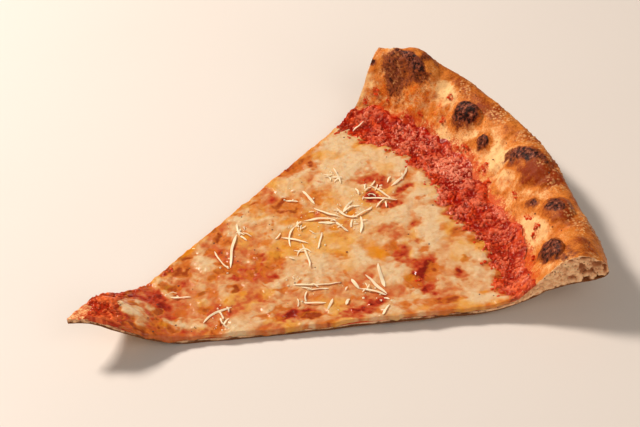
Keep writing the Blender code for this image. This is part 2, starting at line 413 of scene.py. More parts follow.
# %% The blisters
BLISTERS = (
    # degrees, inset from the outer edge, radius across, radius along, tilt, height, exponent
    (17.8, 14.0, 15.0, 12.0, 0.0, 6.0, 1.1),
    (8.8, 15.0, 8.4, 4.6, -13.0, 4.4, 0.6),
    (4.4, 17.7, 4.8, 2.8, -5.0, 2.6, 0.6),
    (-3.2, 12.2, 14.0, 11.0, 0.0, 4.2, 0.9),
    (-9.3, 17.8, 6.2, 2.9, -13.0, 2.0, 0.75),
    (-13.2, 13.0, 10.4, 9.2, 0.0, 4.3, 0.85),
    (-19.3, 21.6, 8.6, 4.2, -10.0, 4.6, 0.6),
)
SWELLINGS = (
    # the same seven numbers, for what is too small for the solids; a dent has a height below zero
    (21.8, 7.6, 8.0, 6.5, 0.0, 2.6, 1.0),
    (20.6, 19.0, 5.0, 3.0, 10.0, 0.9, 1.0),
    (16.2, 19.0, 7.0, 2.6, -10.0, 0.8, 1.0),
    (13.2, 13.0, 3.0, 7.0, 0.0, -1.6, 1.0),
    (12.2, 19.0, 6.0, 2.8, 0.0, 0.9, 1.0),
    (6.6, 15.0, 2.6, 5.0, 0.0, -1.0, 1.0),
    (1.2, 19.0, 7.0, 3.0, -6.0, 1.2, 1.0),
    (1.6, 12.0, 2.4, 7.0, 0.0, -1.2, 1.0),
    (-8.4, 10.0, 2.4, 9.0, 10.0, -1.8, 1.0),
    (-5.2, 20.6, 6.0, 2.2, -10.0, 0.9, 1.0),
    (-12.0, 21.6, 8.0, 2.6, -6.0, 1.1, 1.0),
    (-16.8, 15.0, 2.6, 8.0, 0.0, -1.5, 1.0),
    (-20.6, 12.0, 6.0, 5.0, 0.0, 1.0, 1.0),
    (3.6, 7.0, 7.0, 4.0, 0.0, 0.6, 1.0),
    (9.6, 5.6, 8.0, 4.0, 0.0, 0.6, 1.0),
)


def rim_place(across, along, degrees, inset):
    """Millimetres (sideways, outward) from a named place on the rim."""
    middle = rim_radius(degrees / (SLICE_ANGLE / 2)) - inset
    return along * (direction(across) - math.radians(degrees)), along - middle


def tilted_reach(sideways, outward, wide, deep, tilt):
    """0 in the middle of a tilted ellipse and 1 on its rim."""
    turn = math.radians(tilt)
    one = sideways * math.cos(turn) + outward * math.sin(turn)
    other = outward * math.cos(turn) - sideways * math.sin(turn)
    return np.hypot(one / wide, other / deep)


def blister_height(across, along):
    """What the blisters and swellings add to the rim's top."""
    total = 0.0
    for degrees, inset, wide, deep, tilt, height, exponent in BLISTERS + SWELLINGS:
        share = 1 - tilted_reach(*rim_place(across, along, degrees, inset), wide, deep, tilt) ** 2
        total = total + height * np.maximum(0.0, share) ** exponent
    return total


print("blisters:", len(BLISTERS), "and swellings:", len(SWELLINGS))


# %% The dough's skins
def dough_top(across, along):
    """Height of the upper skin: the thin sheet, the shoulder, then the rim's round back."""
    inset = rim_radius(across) - along
    height = read_smoothly(RIM_HEIGHT, across)
    width = read_smoothly(RIM_WIDTH, across)
    crest = read_smoothly(CREST_INSET, across)
    widest = read_smoothly(WIDEST_HEIGHT, across)
    shoulder = DOUGH_SHEET + (height - DOUGH_SHEET) * eased((width - inset) / (width - crest))
    back = widest + (height - widest) * np.sqrt(np.maximum(0.0, 1 - ((crest - inset) / crest) ** 2))
    skin = np.where(inset >= crest, shoulder, back)
    return underside(across, along) + skin + blister_height(across, along)


def dough_bottom(across, along):
    """Height of the underside, which turns up under the rim's outer edge."""
    inset = rim_radius(across) - along
    widest = read_smoothly(WIDEST_HEIGHT, across)
    turned = widest * (1 - np.sqrt(np.maximum(0.0, 1 - ((UNDER_ROUND - inset) / UNDER_ROUND) ** 2)))
    return underside(across, along) + np.where(inset < UNDER_ROUND, turned, 0.0)


print("top of the sheet at mid length:", round(float(dough_top(0.0, 110.0)), 2), "mm")

# %% [markdown]
# Some marks sit at a definite place, such as a scorched dome or a pool of oil. Each is given as
# an ellipse, and the place is shifted a little by noise first, so that its edge comes out ragged.


# %% Named marks
NICK_SHARE = 0.35  # from one nick in a mark's edge to the next, as a share of its two radii
LEAST_NICK = 1.2


def marked(seed, sideways, outward, wide, deep, tilt, raggedness, softness=0.5):
    """From 0 outside an ellipse to 1 well inside it, with a ragged edge."""
    size = max(LEAST_NICK, NICK_SHARE * (wide + deep))
    reach = tilted_reach(sideways, outward, wide, deep, tilt)
    reach = reach + raggedness * layered_noise(seed, size, 3, sideways, outward)
    return eased((1 + 0.5 * softness - reach) / softness)


def rim_marks(seed, across, along, marks, raggedness, softness):
    """The strongest of the marks on the rim at each place."""
    shown = np.zeros(np.broadcast(across, along).shape)
    for i, (degrees, inset, wide, deep, tilt, strength) in enumerate(marks):
        sideways, outward = rim_place(across, along, degrees, inset)
        mark = marked(seed + i, sideways, outward, wide, deep, tilt, raggedness, softness)
        shown = np.maximum(shown, strength * mark)
    return shown


print("a mark is", float(marked(1, 0.0, 0.0, 5.0, 5.0, 0.0, 0.0)), "at its middle")

# %% [markdown]
# ## From grids of points to a piece
#
# Each layer is a closed ring of points for every direction: along its underside, then back over
# its top. Rings side by side make the skin, and a grid of points closes each cut. Points that
# coincide are welded. Any number that a material needs, such as how scorched a point is, is
# stored on the points as an attribute.


# %% Making a mesh piece
def grid_faces(rows, columns, first, closed):
    """Four-sided faces between neighbouring rows of a grid whose points are numbered in order."""
    i, r = np.meshgrid(np.arange(rows - 1), np.arange(columns if closed else columns - 1), indexing="ij")
    after = (r + 1) % columns
    corners = (i * columns + r, (i + 1) * columns + r, (i + 1) * columns + after, i * columns + after)
    return np.stack(corners, axis=-1).reshape(-1, 4) + first


def make_piece(name, grids, masks, material, crease=58.0):
    """One object from (points, closed) grids in millimetres, kept inside the solids' box."""
    points = np.concatenate([grid.reshape(-1, 3) for grid, _ in grids])
    faces = []
    first = 0
    for grid, closed in grids:
        faces.append(grid_faces(grid.shape[0], grid.shape[1], first, closed))
        first += grid.shape[0] * grid.shape[1]
    low = np.array(cad_low) / MM
    high = np.array(cad_high) / MM
    data = bpy.data.meshes.new(name)
    data.from_pydata((np.clip(points, low, high) * MM).tolist(), [], np.concatenate(faces).tolist())
    for mask, parts in masks.items():
        values = np.concatenate([np.ravel(part) for part in parts])
        data.attributes.new(mask, "FLOAT", "POINT").data.foreach_set("value", values.astype(np.float32))
    return finish_piece(name, data, material, crease)


WELD_REACH = 0.004


def finish_piece(name, data, material, crease):
    """Welds, shades and links a mesh, and puts it on the slice."""
    work = bmesh.new()
    work.from_mesh(data)
    bmesh.ops.remove_doubles(work, verts=work.verts, dist=WELD_REACH * MM)
    work.to_mesh(data)
    work.free()
    data.shade_smooth()
    data.set_sharp_from_angle(angle=math.radians(crease))
    data.materials.append(material)
    piece = bpy.data.objects.new(name, data)
    bpy.context.collection.objects.link(piece)
    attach(piece, "root")
    triangles = sum(len(face.vertices) - 2 for face in data.polygons)
    print(name, "has", len(data.vertices), "points and", triangles, "triangles")
    return piece


# %% Helpers for rows of stations
def stretch(start, end, steps):
    """Evenly spaced distances from start to just short of end, a row for each direction."""
    return start[:, None] + (end - start)[:, None] * (np.arange(steps) / steps)[None, :]


def quarter_round(start, end, steps):
    """Distances from start to end that close up towards the end as on a quarter circle."""
    return start[:, None] + (end - start)[:, None] * np.sin(np.pi / 2 * np.arange(steps + 1) / steps)[None, :]


def ring_normals(ring):
    """The outward direction at each point of a closed ring grid."""
    over = np.gradient(ring, axis=0)
    round_ = np.roll(ring, -1, axis=1) - np.roll(ring, 1, axis=1)
    normal = np.cross(over, round_)
    return normal / np.maximum(np.linalg.norm(normal, axis=-1, keepdims=True), 1e-9)


def cut_face(top, top_along, bottom, bottom_along, levels):
    """A grid of points that closes a cut: a row for each place along it, from bottom to top."""
    foot = np.stack([np.interp(top_along, bottom_along, bottom[:, axis]) for axis in range(3)], axis=-1)
    share = np.linspace(0, 1, levels + 1)[None, :, None]
    return foot[:, None, :] * (1 - share) + top[:, None, :] * share


print("a quarter round:", np.round(quarter_round(np.array([0.0]), np.array([1.0]), 3), 2))

# %% [markdown]
# ## The dough
#
# The rim of a pizza browns as bread does. Its skin is matt and papery, pale cream in some places, golden on
# its back, brown on the swellings and black on the thinnest blisters. Its outer side carries hundreds of tiny
# gas bubbles. These, and dots scattered over that side, are painted lighter as painted highlight. A cut
# through it shows an open, cream-coloured crumb with holes that grow towards the outer edge; the holes are
# painted darker inside as painted shade. The underside is floury and toasted in spots.
#
# The mesh is fine on the rim, where all this shows, and coarse under the sauce.

# %% Rows of points on the dough
SAUCE_START = ((-1, 8.5), (1, 13.0))
SAUCE_END = ((-1, 190.0), (-0.45, 197.0), (0, 199.5), (0.22, 204.5), (0.65, 203.0), (0.85, 198.0), (1, 193.0))
RIM_DETAIL_START = 9.0  # how far inside the sauce's end the fine mesh starts
TIP_DETAIL_END = 8.0  # how far past the sauce's start the fine mesh at the point ends
BARE_TIP_END = 16.0
BARE_TIP_FADE = 4.0
DOUGH_COLUMNS = 380
TIP_ROWS = 22
SHEET_ROWS = 34
SHOULDER_ROWS = 50
BACK_ROWS = 44
UNDER_ROWS = 50
TURNED_ROWS = 14

dough_across = np.linspace(-1, 1, DOUGH_COLUMNS + 1)
point_blunt = np.full_like(dough_across, POINT_BLUNT)
dough_edge = rim_radius(dough_across)
dough_crest = dough_edge - read_smoothly(CREST_INSET, dough_across)
tip_end = read_smoothly(SAUCE_START, dough_across) + TIP_DETAIL_END
fine_start = read_smoothly(SAUCE_END, dough_across) - RIM_DETAIL_START
top_along = np.concatenate(
    [
        stretch(point_blunt, tip_end, TIP_ROWS),
        stretch(tip_end, fine_start, SHEET_ROWS),
        stretch(fine_start, dough_crest, SHOULDER_ROWS),
        quarter_round(dough_crest, dough_edge, BACK_ROWS),
    ],
    axis=1,
)
turn_up = dough_edge - UNDER_ROUND
bottom_along = np.concatenate(
    [stretch(point_blunt, turn_up, UNDER_ROWS), quarter_round(turn_up, dough_edge, TURNED_ROWS)],
    axis=1,
)
print("stations on the dough's top and bottom:", top_along.shape[1], bottom_along.shape[1])

# %% The smooth ring of the dough
dough_side = dough_across[:, None]
ring_along = np.concatenate([bottom_along, top_along[:, -2::-1]], axis=1)
ring_height = np.concatenate(
    [dough_bottom(dough_side, bottom_along), dough_top(dough_side, top_along)[:, -2::-1]], axis=1
)
dough_ring = in_frame(dough_side, ring_along, ring_height)
on_top = (np.arange(ring_along.shape[1]) >= bottom_along.shape[1] - 1)[None, :]
ring_inset = rim_radius(dough_side) - ring_along
bare_tip = eased((BARE_TIP_END - ring_along) / BARE_TIP_FADE) * on_top
print("ring grid:", dough_ring.shape)

# %% Where the rim is scorched, browned, pale or oiled
CHAR_MARKS = (
    # degrees, inset, radius across, radius along, tilt in degrees, strength; the same six below
    (18.5, 12.2, 9.6, 1.5, 2.0, 0.95),
    (16.9, 7.4, 4.8, 1.8, 80.0, 0.65),
    (19.8, 15.6, 7.2, 3.0, 24.0, 0.6),
    (18.4, 14.4, 9.0, 2.2, 4.0, 0.55),
    (16.8, 15.4, 6.4, 2.4, -17.0, 0.58),
    (18.9, 18.6, 3.0, 1.6, 29.0, 0.6),
    (23.0, 11.1, 1.6, 0.9, -12.0, 1.0),
    (-1.1, 15.8, 4.6, 2.0, 7.0, 0.62),
    (-2.6, 11.4, 10.0, 3.4, -23.0, 1.0),
    (-9.0, 18.2, 3.8, 1.4, -14.0, 0.6),
    (-9.6, 17.5, 2.0, 1.0, -17.0, 0.95),
    (-13.1, 11.9, 5.4, 2.8, -23.0, 0.95),
    (-20.1, 22.6, 9.2, 3.5, -16.0, 0.9),
    (-22.2, 16.0, 3.7, 2.6, -17.0, 0.35),
)
BROWN_MARKS = (
    (18.6, 14.6, 10.5, 4.0, 6.0, 0.8),
    (8.8, 14.8, 9.4, 5.0, -13.0, 0.5),
    (4.4, 17.6, 5.6, 3.0, 0.0, 0.7),
    (-4.4, 13.4, 13.0, 7.6, -20.0, 1.3),
    (-9.3, 17.6, 7.0, 3.0, -11.0, 0.7),
    (-13.6, 12.6, 10.0, 6.0, -19.0, 1.1),
    (-19.6, 21.0, 10.4, 5.2, -10.0, 0.75),
    (-21.6, 12.0, 6.0, 6.0, 0.0, 0.5),
    (12.8, 6.0, 9.0, 5.0, 0.0, 0.35),
)
PALE_MARKS = (
    (12.8, 12.6, 4.8, 3.6, 9.0, 1.3),
    (6.8, 17.4, 4.6, 1.8, -14.0, 0.85),
    (1.0, 18.6, 7.6, 3.4, -7.0, 1.6),
    (-2.6, 20.7, 7.0, 2.6, -6.0, 1.5),
    (-5.8, 19.1, 5.1, 1.6, -19.0, 0.6),
    (-12.2, 21.2, 9.6, 2.6, -7.0, 1.3),
    (21.2, 7.5, 9.3, 3.4, 34.0, 1.3),
    (22.9, 17.4, 4.4, 3.0, 41.0, 0.8),
    (14.6, 9.0, 5.0, 3.0, 0.0, 0.5),
)
OIL_MARKS = (
    (15.6, 17.6, 9.6, 2.6, -13.0, 1.0),
    (12.2, 18.6, 6.4, 3.4, -6.0, 1.0),
    (22.0, 17.7, 5.0, 3.4, 17.0, 0.9),
    (19.8, 21.6, 10.0, 3.4, 10.0, 1.0),
    (16.4, 21.0, 8.0, 2.6, -8.0, 1.0),
    (-1.7, 22.8, 6.0, 1.6, -9.0, 0.8),
    (3.6, 22.0, 4.4, 2.0, 0.0, 0.7),
    (-16.0, 15.6, 6.4, 2.0, -40.0, 0.5),
    (-18.6, 29.6, 12.0, 5.0, 0.0, 0.9),
)
SPLASHES = (
    # where bits of tomato stick to the rim
    (11.9, 13.5, 1.6, 1.0, -5.0, 1.0),
    (2.1, 23.0, 3.8, 2.0, 10.0, 1.0),
    (6.6, 22.6, 4.2, 2.0, -9.0, 1.0),
    (0.1, 24.9, 2.6, 1.4, -14.0, 1.0),
    (-5.4, 21.4, 3.0, 1.2, -12.0, 0.8),
    (-10.3, 20.6, 3.0, 1.2, -11.0, 1.0),
    (-13.2, 20.6, 3.4, 1.2, 7.0, 0.9),
    (-13.9, 22.4, 2.6, 1.0, 0.0, 0.9),
    (21.4, 18.4, 2.0, 1.1, 16.0, 0.9),
    (19.6, 21.1, 2.0, 0.9, 23.0, 0.9),
    (22.2, 20.8, 2.4, 1.2, 0.0, 0.9),
    (11.4, 19.7, 1.8, 1.0, 2.0, 0.9),
    (14.6, 21.4, 2.2, 1.0, 0.0, 0.8),
    (-17.0, 26.0, 2.4, 1.4, 0.0, 0.9),
)
CHARRED_BLISTERS = {1: 1.0, 2: 0.8, 4: 0.35}  # the ones scorched all over, and how strongly
SMEAR_REACH = (3.0, 5.0)  # how far sauce is smeared past its end, and how much noise changes that
char = on_top * rim_marks(100, dough_side, ring_along, CHAR_MARKS, raggedness=0.45, softness=0.9)
for number, strength in CHARRED_BLISTERS.items():
    degrees, inset, wide, deep, tilt, _, _ = BLISTERS[number]
    sideways, outward = rim_place(dough_side, ring_along, degrees, inset)
    reach = tilted_reach(sideways, outward, wide, deep, tilt)
    reach = reach + 0.16 * layered_noise(180 + number, 2.4, 3, sideways, outward)
    char = np.maximum(char, on_top * strength * eased((1.0 - reach) / 0.4))
brown = on_top * rim_marks(200, dough_side, ring_along, BROWN_MARKS, raggedness=0.3, softness=0.9)
pale = on_top * rim_marks(300, dough_side, ring_along, PALE_MARKS, raggedness=0.35, softness=1.1)
oiled = on_top * rim_marks(400, dough_side, ring_along, OIL_MARKS, raggedness=0.45, softness=0.9)
uneven = layered_noise(410, 5.0, 3, *np.moveaxis(dough_ring, -1, 0)[:2])
smear_reach = SMEAR_REACH[0] + SMEAR_REACH[1] * uneven
past_sauce = ring_along - read_smoothly(SAUCE_END, dough_side)
smeared = on_top * eased(1 - past_sauce / np.maximum(smear_reach, 0.8)) * (past_sauce > -6)
splashed = on_top * rim_marks(450, dough_side, ring_along, SPLASHES, raggedness=0.4, softness=0.8)
smeared = np.maximum(smeared, splashed)
smeared = np.maximum(smeared, 0.85 * bare_tip)
print("scorched share of the points:", round(float((char > 0.5).mean()), 3))

# %% [markdown]
# The relief goes on in layers, from the broad unevenness of a hand-stretched rim down to bubbles
# a millimetre wide. All of it is pushed along the skin's own outward direction.

# %% Relief of the dough
MICRO_BUBBLE = 1.5  # from one tiny bubble to the next
RIM_INSET = 31.0  # how far in from the outer edge the rim's unevenness reaches
BACK_INSET = 13.0  # how far in the bubbly outer side reaches
RIM_WAVES = 0.6  # this and the next five say how high the kinds of relief are
FOLD_HEIGHT = 0.42
TIP_ROUGHNESS = 0.5
BUBBLE_HEIGHT = 0.3
CHAR_ROUGHNESS = 0.30
GRAIN_HEIGHT = 0.22
KEPT_INWARD = 0.4  # the relief is shifted inward by this much, so that the slice keeps its size
ring_x, ring_y, ring_z = np.moveaxis(dough_ring, -1, 0)
on_rim = eased((RIM_INSET - ring_inset) / 7)
backside = eased((BACK_INSET - ring_inset) / 5)
bubble_away, bubble_number = nearest_cell(11, MICRO_BUBBLE, ring_x, ring_y, ring_z)
bubble_patches = eased(0.75 + 1.6 * layered_noise(12, 11.0, 2, ring_x, ring_y, ring_z))
granular = backside * bubble_patches * (1 - char)
bubbles = eased((0.5 - bubble_away) / 0.25) * (bubble_number > 0.3) * granular
folds = 1 - np.abs(layered_noise(13, 6.0, 3, ring_x, ring_y, ring_z)) * 2.2
relief = on_rim * RIM_WAVES * layered_noise(14, 13.0, 3, ring_x, ring_y, ring_z)
relief = relief + on_rim * (0.15 + 0.85 * (1 - backside)) * FOLD_HEIGHT * folds
relief = relief + BUBBLE_HEIGHT * bubbles
relief = relief + CHAR_ROUGHNESS * char * layered_noise(15, 1.7, 2, ring_x, ring_y, ring_z)
grainy = layered_noise(16, 2.6, 3, ring_x, ring_y, ring_z)
relief = relief + GRAIN_HEIGHT * grainy * (0.4 + 0.6 * on_rim + bare_tip)
relief = relief + TIP_ROUGHNESS * bare_tip * layered_noise(18, 2.8, 2, ring_x, ring_y, ring_z)
relief = relief - KEPT_INWARD * on_rim
dough_ring = dough_ring + ring_normals(dough_ring) * relief[..., None]
print("relief from", round(float(relief.min()), 2), "to", round(float(relief.max()), 2), "mm")

# %% [markdown]
# The cut faces are grids of their own. Round holes are pressed into them, in three sizes, and
# they stop short of the skin, which is a dense shell.

# %% The crumb in the cuts
CUT_LEVELS = 36
HOLES = (
    # seed, spacing, depth, share of places with a hole, how far it keeps to the outer edge
    (21, 4.6, 3.0, 0.7, 1.0),
    (22, 2.4, 1.5, 0.6, 0.3),
    (23, 1.4, 1.0, 0.75, 0.0),
)
CRUST_SHELL = 0.9
CRUMB_ROUGHNESS = 0.12
HOLE_FLATNESS = 1.25  # holes are this much wider than high


def crumbed(across_edge, grid, along, face_seed):
    """Presses holes into a cut face, and returns it with how deep each point lies."""
    side = direction(across_edge)
    inward = np.array([math.sin(side), -math.cos(side), 0.0]) * across_edge
    height = grid[..., 2]
    thickness = height[:, -1:] - height[:, :1]
    from_skin = np.minimum(height - height[:, :1], height[:, -1:] - height)
    from_end = (rim_radius(across_edge) - along)[:, None]
    inside = eased(from_skin / CRUST_SHELL) * eased(from_end / 2.5)
    depth = np.zeros(height.shape)
    along_face = along[:, None] + 0 * height
    for seed, spacing, deep, share, outer in HOLES:
        away, number = nearest_cell(seed + face_seed, spacing, along_face, height * HOLE_FLATNESS)
        size = 0.30 + 0.22 * (number / share)
        pit = np.sqrt(np.maximum(0.0, 1 - (away / size) ** 2)) * (number < share)
        room = eased((thickness - 0.7 * spacing) / (0.8 * spacing))
        place = 1 - outer * eased((from_end - 12) / 12)
        depth = np.maximum(depth, deep * pit * room * place)
    depth = depth * inside
    rough = CRUMB_ROUGHNESS * layered_noise(face_seed + 5, 0.9, 2, along_face, height) * inside
    return grid + inward * (depth + rough)[..., None], depth


bottom_count = bottom_along.shape[1]
dough_grids = [(dough_ring, True)]
cut_masks = []
cut_levels = []
for row, face_seed in ((0, 40), (-1, 50)):
    top_row = dough_ring[row, bottom_count - 1 :][::-1]
    face = cut_face(top_row, top_along[row], dough_ring[row, :bottom_count], bottom_along[row], CUT_LEVELS)
    face, pits = crumbed(float(dough_across[row]), face, top_along[row], face_seed)
    order = slice(None) if row == 0 else slice(None, None, -1)
    dough_grids.append((face[order], False))
    cut_masks.append(pits[order])
    # a cut is baked brown at its skin and its foot, in streaks, and a thin sheet is baked through
    drop = 1 - np.linspace(0, 1, CUT_LEVELS + 1)[None, :]
    face_height = np.linalg.norm(face[:, -1:] - face[:, :1], axis=-1)
    skin_depth = face_height * np.minimum(drop, 1 - drop)
    under_depth = face_height * (1 - drop)
    streaks = 0.75 + 0.9 * layered_noise(face_seed + 8, 5.0, 3, top_along[row])[:, None]
    streaks = np.clip(streaks, 0.2, 1.4)
    thinness = 1 - eased((skin_depth.max(axis=1, keepdims=True) * 2 - 3.0) / 4.0)
    browned_cut = eased(1 - under_depth / (0.5 + streaks)) + 0.6 * streaks * eased(1 - skin_depth / 0.6)
    cut_levels.append((browned_cut + 0.35 * thinness)[order])
print("deepest hole in the crumb:", round(max(float(pits.max()) for pits in cut_masks), 2), "mm")

# %% What the dough's material needs to know
SHOULDER_TOAST = 0.36  # 0 is pale, 0.5 golden and 1 brown
BACK_TOAST = 0.34  # how much more the outer side is toasted
UNDER_TOAST = 0.62
toast = SHOULDER_TOAST + BACK_TOAST * eased((15.0 - ring_inset) / 8.0) + 0.40 * brown - 0.46 * pale
toast = toast + 0.28 * layered_noise(17, 8.0, 5, ring_x, ring_y, ring_z) + 0.16 * relief
toast = toast - 0.15 * bare_tip
toast = np.clip(np.where(on_top, toast, UNDER_TOAST + 0.15 * backside), 0, 1)
crumb_zero = [np.zeros(pits.shape) for pits in cut_masks]
dough_masks = {
    "toast": [toast, *crumb_zero],
    "char": [char, *crumb_zero],
    "oiled": [np.clip(oiled, 0, 1), *crumb_zero],
    "bubbles": [bubbles, *crumb_zero],
    "granular": [granular, *crumb_zero],
    "crumb": [np.zeros(toast.shape), *(np.ones(pits.shape) for pits in cut_masks)],
    "pits": [np.zeros(toast.shape), *cut_masks],
    "under": [np.broadcast_to(~on_top, toast.shape).astype(float), *crumb_zero],
    "smeared": [smeared, *crumb_zero],
    "level": [np.zeros(toast.shape), *cut_levels],
}
print("mean toast:", round(float(toast.mean()), 2))

# %% [markdown]
# The material is oven-baked wheat dough. Bread has no gloss to speak of: its index of refraction is about 1.4
# and its skin is rough. The shine on its tiny bubbles is painted highlight, a lighter colour on them. A
# little light passes through it, which softens the crumb. Colour comes from the stored numbers, broken up
# with fine noise. Real specks of bran and scorched flour are half a millimetre wide; they are drawn 0.8 mm
# wide, so that they show.

# %% Oven-baked wheat dough
baked_dough, add = start_material("oven_baked_wheat_dough")
place = add("TexCoord", give="Object")
toasted = add("Attribute", give="Fac", attribute_name="toast")
scorched = add("Attribute", give="Fac", attribute_name="char")
oily = add("Attribute", give="Fac", attribute_name="oiled")
bubbly = add("Attribute", give="Fac", attribute_name="bubbles")
bran = add("TexNoise", {"Vector": place, "Scale": 1 / (0.8 * MM), "Detail": 3.0, "Roughness": 0.65})
spots = add("TexNoise", {"Vector": place, "Scale": 1 / (2.6 * MM), "Detail": 4.0, "Roughness": 0.6})
broken = add("Math", {0: bran, 1: 0.5}, operation="SUBTRACT")
broken = add("Math", {0: broken, 1: 0.8, 2: toasted}, operation="MULTIPLY_ADD")
patchy = add("Math", {0: spots, 1: 0.5}, operation="SUBTRACT")
broken = add("Math", {0: patchy, 1: 0.4, 2: broken}, operation="MULTIPLY_ADD")
golden = add("MapRange", {"Value": broken, "From Min": 0.0, "From Max": 0.5}, **STEP)
browned = add("MapRange", {"Value": broken, "From Min": 0.42, "From Max": 1.0}, **STEP)
skin = add("Mix", {"Factor": golden, "A": paint("#ffcf8e"), "B": paint("#dc8030")}, **COLOUR)
skin = add("Mix", {"Factor": browned, "A": skin, "B": paint("#8c3003")}, **COLOUR)
print("the skin's colours run from pale cream to golden to brown")

# %% Oil, bubbles and scorching on the skin
# Orange oil has run from the sauce up the inner shoulder, and bits of it have caught.
stain = add("MapRange", {"Value": spots, "From Min": 0.34, "From Max": 0.62}, **STEP)
stain = add("Math", {0: stain, 1: oily}, operation="MULTIPLY")
oil_tone = add("MapRange", {"Value": bran, "From Min": 0.4, "From Max": 0.6}, **STEP)
oil_tone = add("Mix", {"Factor": oil_tone, "A": paint("#dc6014"), "B": paint("#f39236")}, **COLOUR)
skin = add("Mix", {"Factor": stain, "A": skin, "B": oil_tone}, **COLOUR)
catch = add("MapRange", {"Value": bran, "From Min": 0.6, "From Max": 0.72}, **STEP)
catch = add("Math", {0: catch, 1: oily}, operation="MULTIPLY")
skin = add("Mix", {"Factor": catch, "A": skin, "B": paint("#7a2c0e")}, **COLOUR)
smear = add("Attribute", give="Fac", attribute_name="smeared")
red_smear = add("Math", {0: bran, 1: 0.5}, operation="SUBTRACT")
red_smear = add("Math", {0: red_smear, 1: 2.4, 2: smear}, operation="MULTIPLY_ADD")
red_smear = add("Math", {0: patchy, 1: 1.6, 2: red_smear}, operation="MULTIPLY_ADD")
red_smear = add("MapRange", {"Value": red_smear, "From Min": 0.45, "From Max": 1.1, "To Max": 0.85}, **STEP)
skin = add("Mix", {"Factor": red_smear, "A": skin, "B": paint("#d2481a")}, **COLOUR)
# the tiny bubbles, and dots scattered over the bubbly outer side, are painted lighter: painted highlight
highlight_dot_area = add("Attribute", give="Fac", attribute_name="granular")
highlight_dots = add("TexVoronoi", {"Vector": place, "Scale": 1 / (1.5 * MM)}, give="Distance")
highlight_dots = add("MapRange", {"Value": highlight_dots, "From Min": 0.42, "From Max": 0.18, "To Max": 0.85}, **STEP)
highlight_dots = add("Math", {0: highlight_dots, 1: highlight_dot_area}, operation="MULTIPLY")
bubble_highlight = add("Math", {0: bubbly, 1: 0.6}, operation="MULTIPLY")
bubble_highlight = add("Math", {0: bubble_highlight, 1: highlight_dots}, operation="MAXIMUM")
skin = add("Mix", {"Factor": bubble_highlight, "A": skin, "B": paint("#f0b676")}, **COLOUR)
grains = add("TexNoise", {"Vector": place, "Scale": 1 / (1.2 * MM), "Detail": 4.0, "Roughness": 0.75})
flakes = add("Math", {0: grains, 1: 0.5}, operation="SUBTRACT")
edge = add("Math", {0: patchy, 1: 0.8, 2: scorched}, operation="MULTIPLY_ADD")
edge = add("Math", {0: flakes, 1: 1.4, 2: edge}, operation="MULTIPLY_ADD")
singed = add("MapRange", {"Value": edge, "From Min": 0.0, "From Max": 0.55}, **STEP)
burnt = add("MapRange", {"Value": edge, "From Min": 0.34, "From Max": 0.85}, **STEP)
ash = add("TexNoise", {"Vector": place, "Scale": 1 / (1.5 * MM), "Detail": 3.0, "Roughness": 0.65})
soot = add("MapRange", {"Value": ash, "From Min": 0.57, "From Max": 0.43}, **STEP)
flake = add("MapRange", {"Value": ash, "From Min": 0.58, "From Max": 0.7}, **STEP)
charred = add("Mix", {"Factor": soot, "A": paint("#7a3b28"), "B": paint("#23100c")}, **COLOUR)
charred = add("Mix", {"Factor": flake, "A": charred, "B": paint("#b87454")}, **COLOUR)
skin = add("Mix", {"Factor": singed, "A": skin, "B": paint("#96491f")}, **COLOUR)
skin = add("Mix", {"Factor": burnt, "A": skin, "B": charred}, **COLOUR)
print("scorched skin goes through brown to black")

# %% Crumb and underside
in_crumb = add("Attribute", give="Fac", attribute_name="crumb")
pit_depth = add("Attribute", give="Fac", attribute_name="pits")
below = add("Attribute", give="Fac", attribute_name="under")
# the crumb is painted darker the deeper a hole goes, and its tiny pores are painted as dark dots: painted
# shade in the holes
shade = add("MapRange", {"Value": pit_depth, "From Min": 0.15, "From Max": 1.8}, **STEP)
pore_shade = add("TexVoronoi", {"Vector": place, "Scale": 1 / (1.5 * MM)}, give="Distance")
pore_shade = add("MapRange", {"Value": pore_shade, "From Min": 0.32, "From Max": 0.12}, **STEP)
few = add("MapRange", {"Value": spots, "From Min": 0.44, "From Max": 0.54}, **STEP)
pore_shade = add("Math", {0: pore_shade, 1: few}, operation="MULTIPLY")
flesh = add("Mix", {"Factor": bran, "A": paint("#fcb984"), "B": paint("#ffdbac")}, **COLOUR)
flesh = add("Mix", {"Factor": shade, "A": flesh, "B": paint("#bc7c52")}, **COLOUR)
shell = add("Attribute", give="Fac", attribute_name="level")
shell = add("Math", {0: patchy, 1: 1.6, 2: shell}, operation="MULTIPLY_ADD")
shell = add("MapRange", {"Value": shell, "From Min": 0.15, "From Max": 0.9, "To Max": 0.95}, **STEP)
flesh = add("Mix", {"Factor": shell, "A": flesh, "B": paint("#6e3a18")}, **COLOUR)
flesh = add("Mix", {"Factor": pore_shade, "A": flesh, "B": paint("#8a5c3c")}, **COLOUR)
floury = add("Mix", {"Factor": spots, "A": paint("#b27a45"), "B": paint("#d9bd95")}, **COLOUR)
leopard = add("TexNoise", {"Vector": place, "Scale": 1 / (6.5 * MM), "Detail": 3.0})
leopard = add("MapRange", {"Value": leopard, "From Min": 0.52, "From Max": 0.68}, **STEP)
floury = add("Mix", {"Factor": leopard, "A": floury, "B": paint("#5d3319")}, **COLOUR)
colour = add("Mix", {"Factor": below, "A": skin, "B": floury}, **COLOUR)
colour = add("Mix", {"Factor": in_crumb, "A": colour, "B": flesh}, **COLOUR)
gloss = add("MapRange", {"Value": stain, "To Min": 0.42, "To Max": 0.22})
papery = add("TexNoise", {"Vector": place, "Scale": 1 / (0.6 * MM), "Detail": 4.0, "Roughness": 0.65})
relief = add("Bump", {"Height": spots, "Strength": 0.5, "Distance": 0.8 * MM})
relief = add("Bump", {"Height": papery, "Strength": 0.6, "Distance": 0.35 * MM, "Normal": relief})
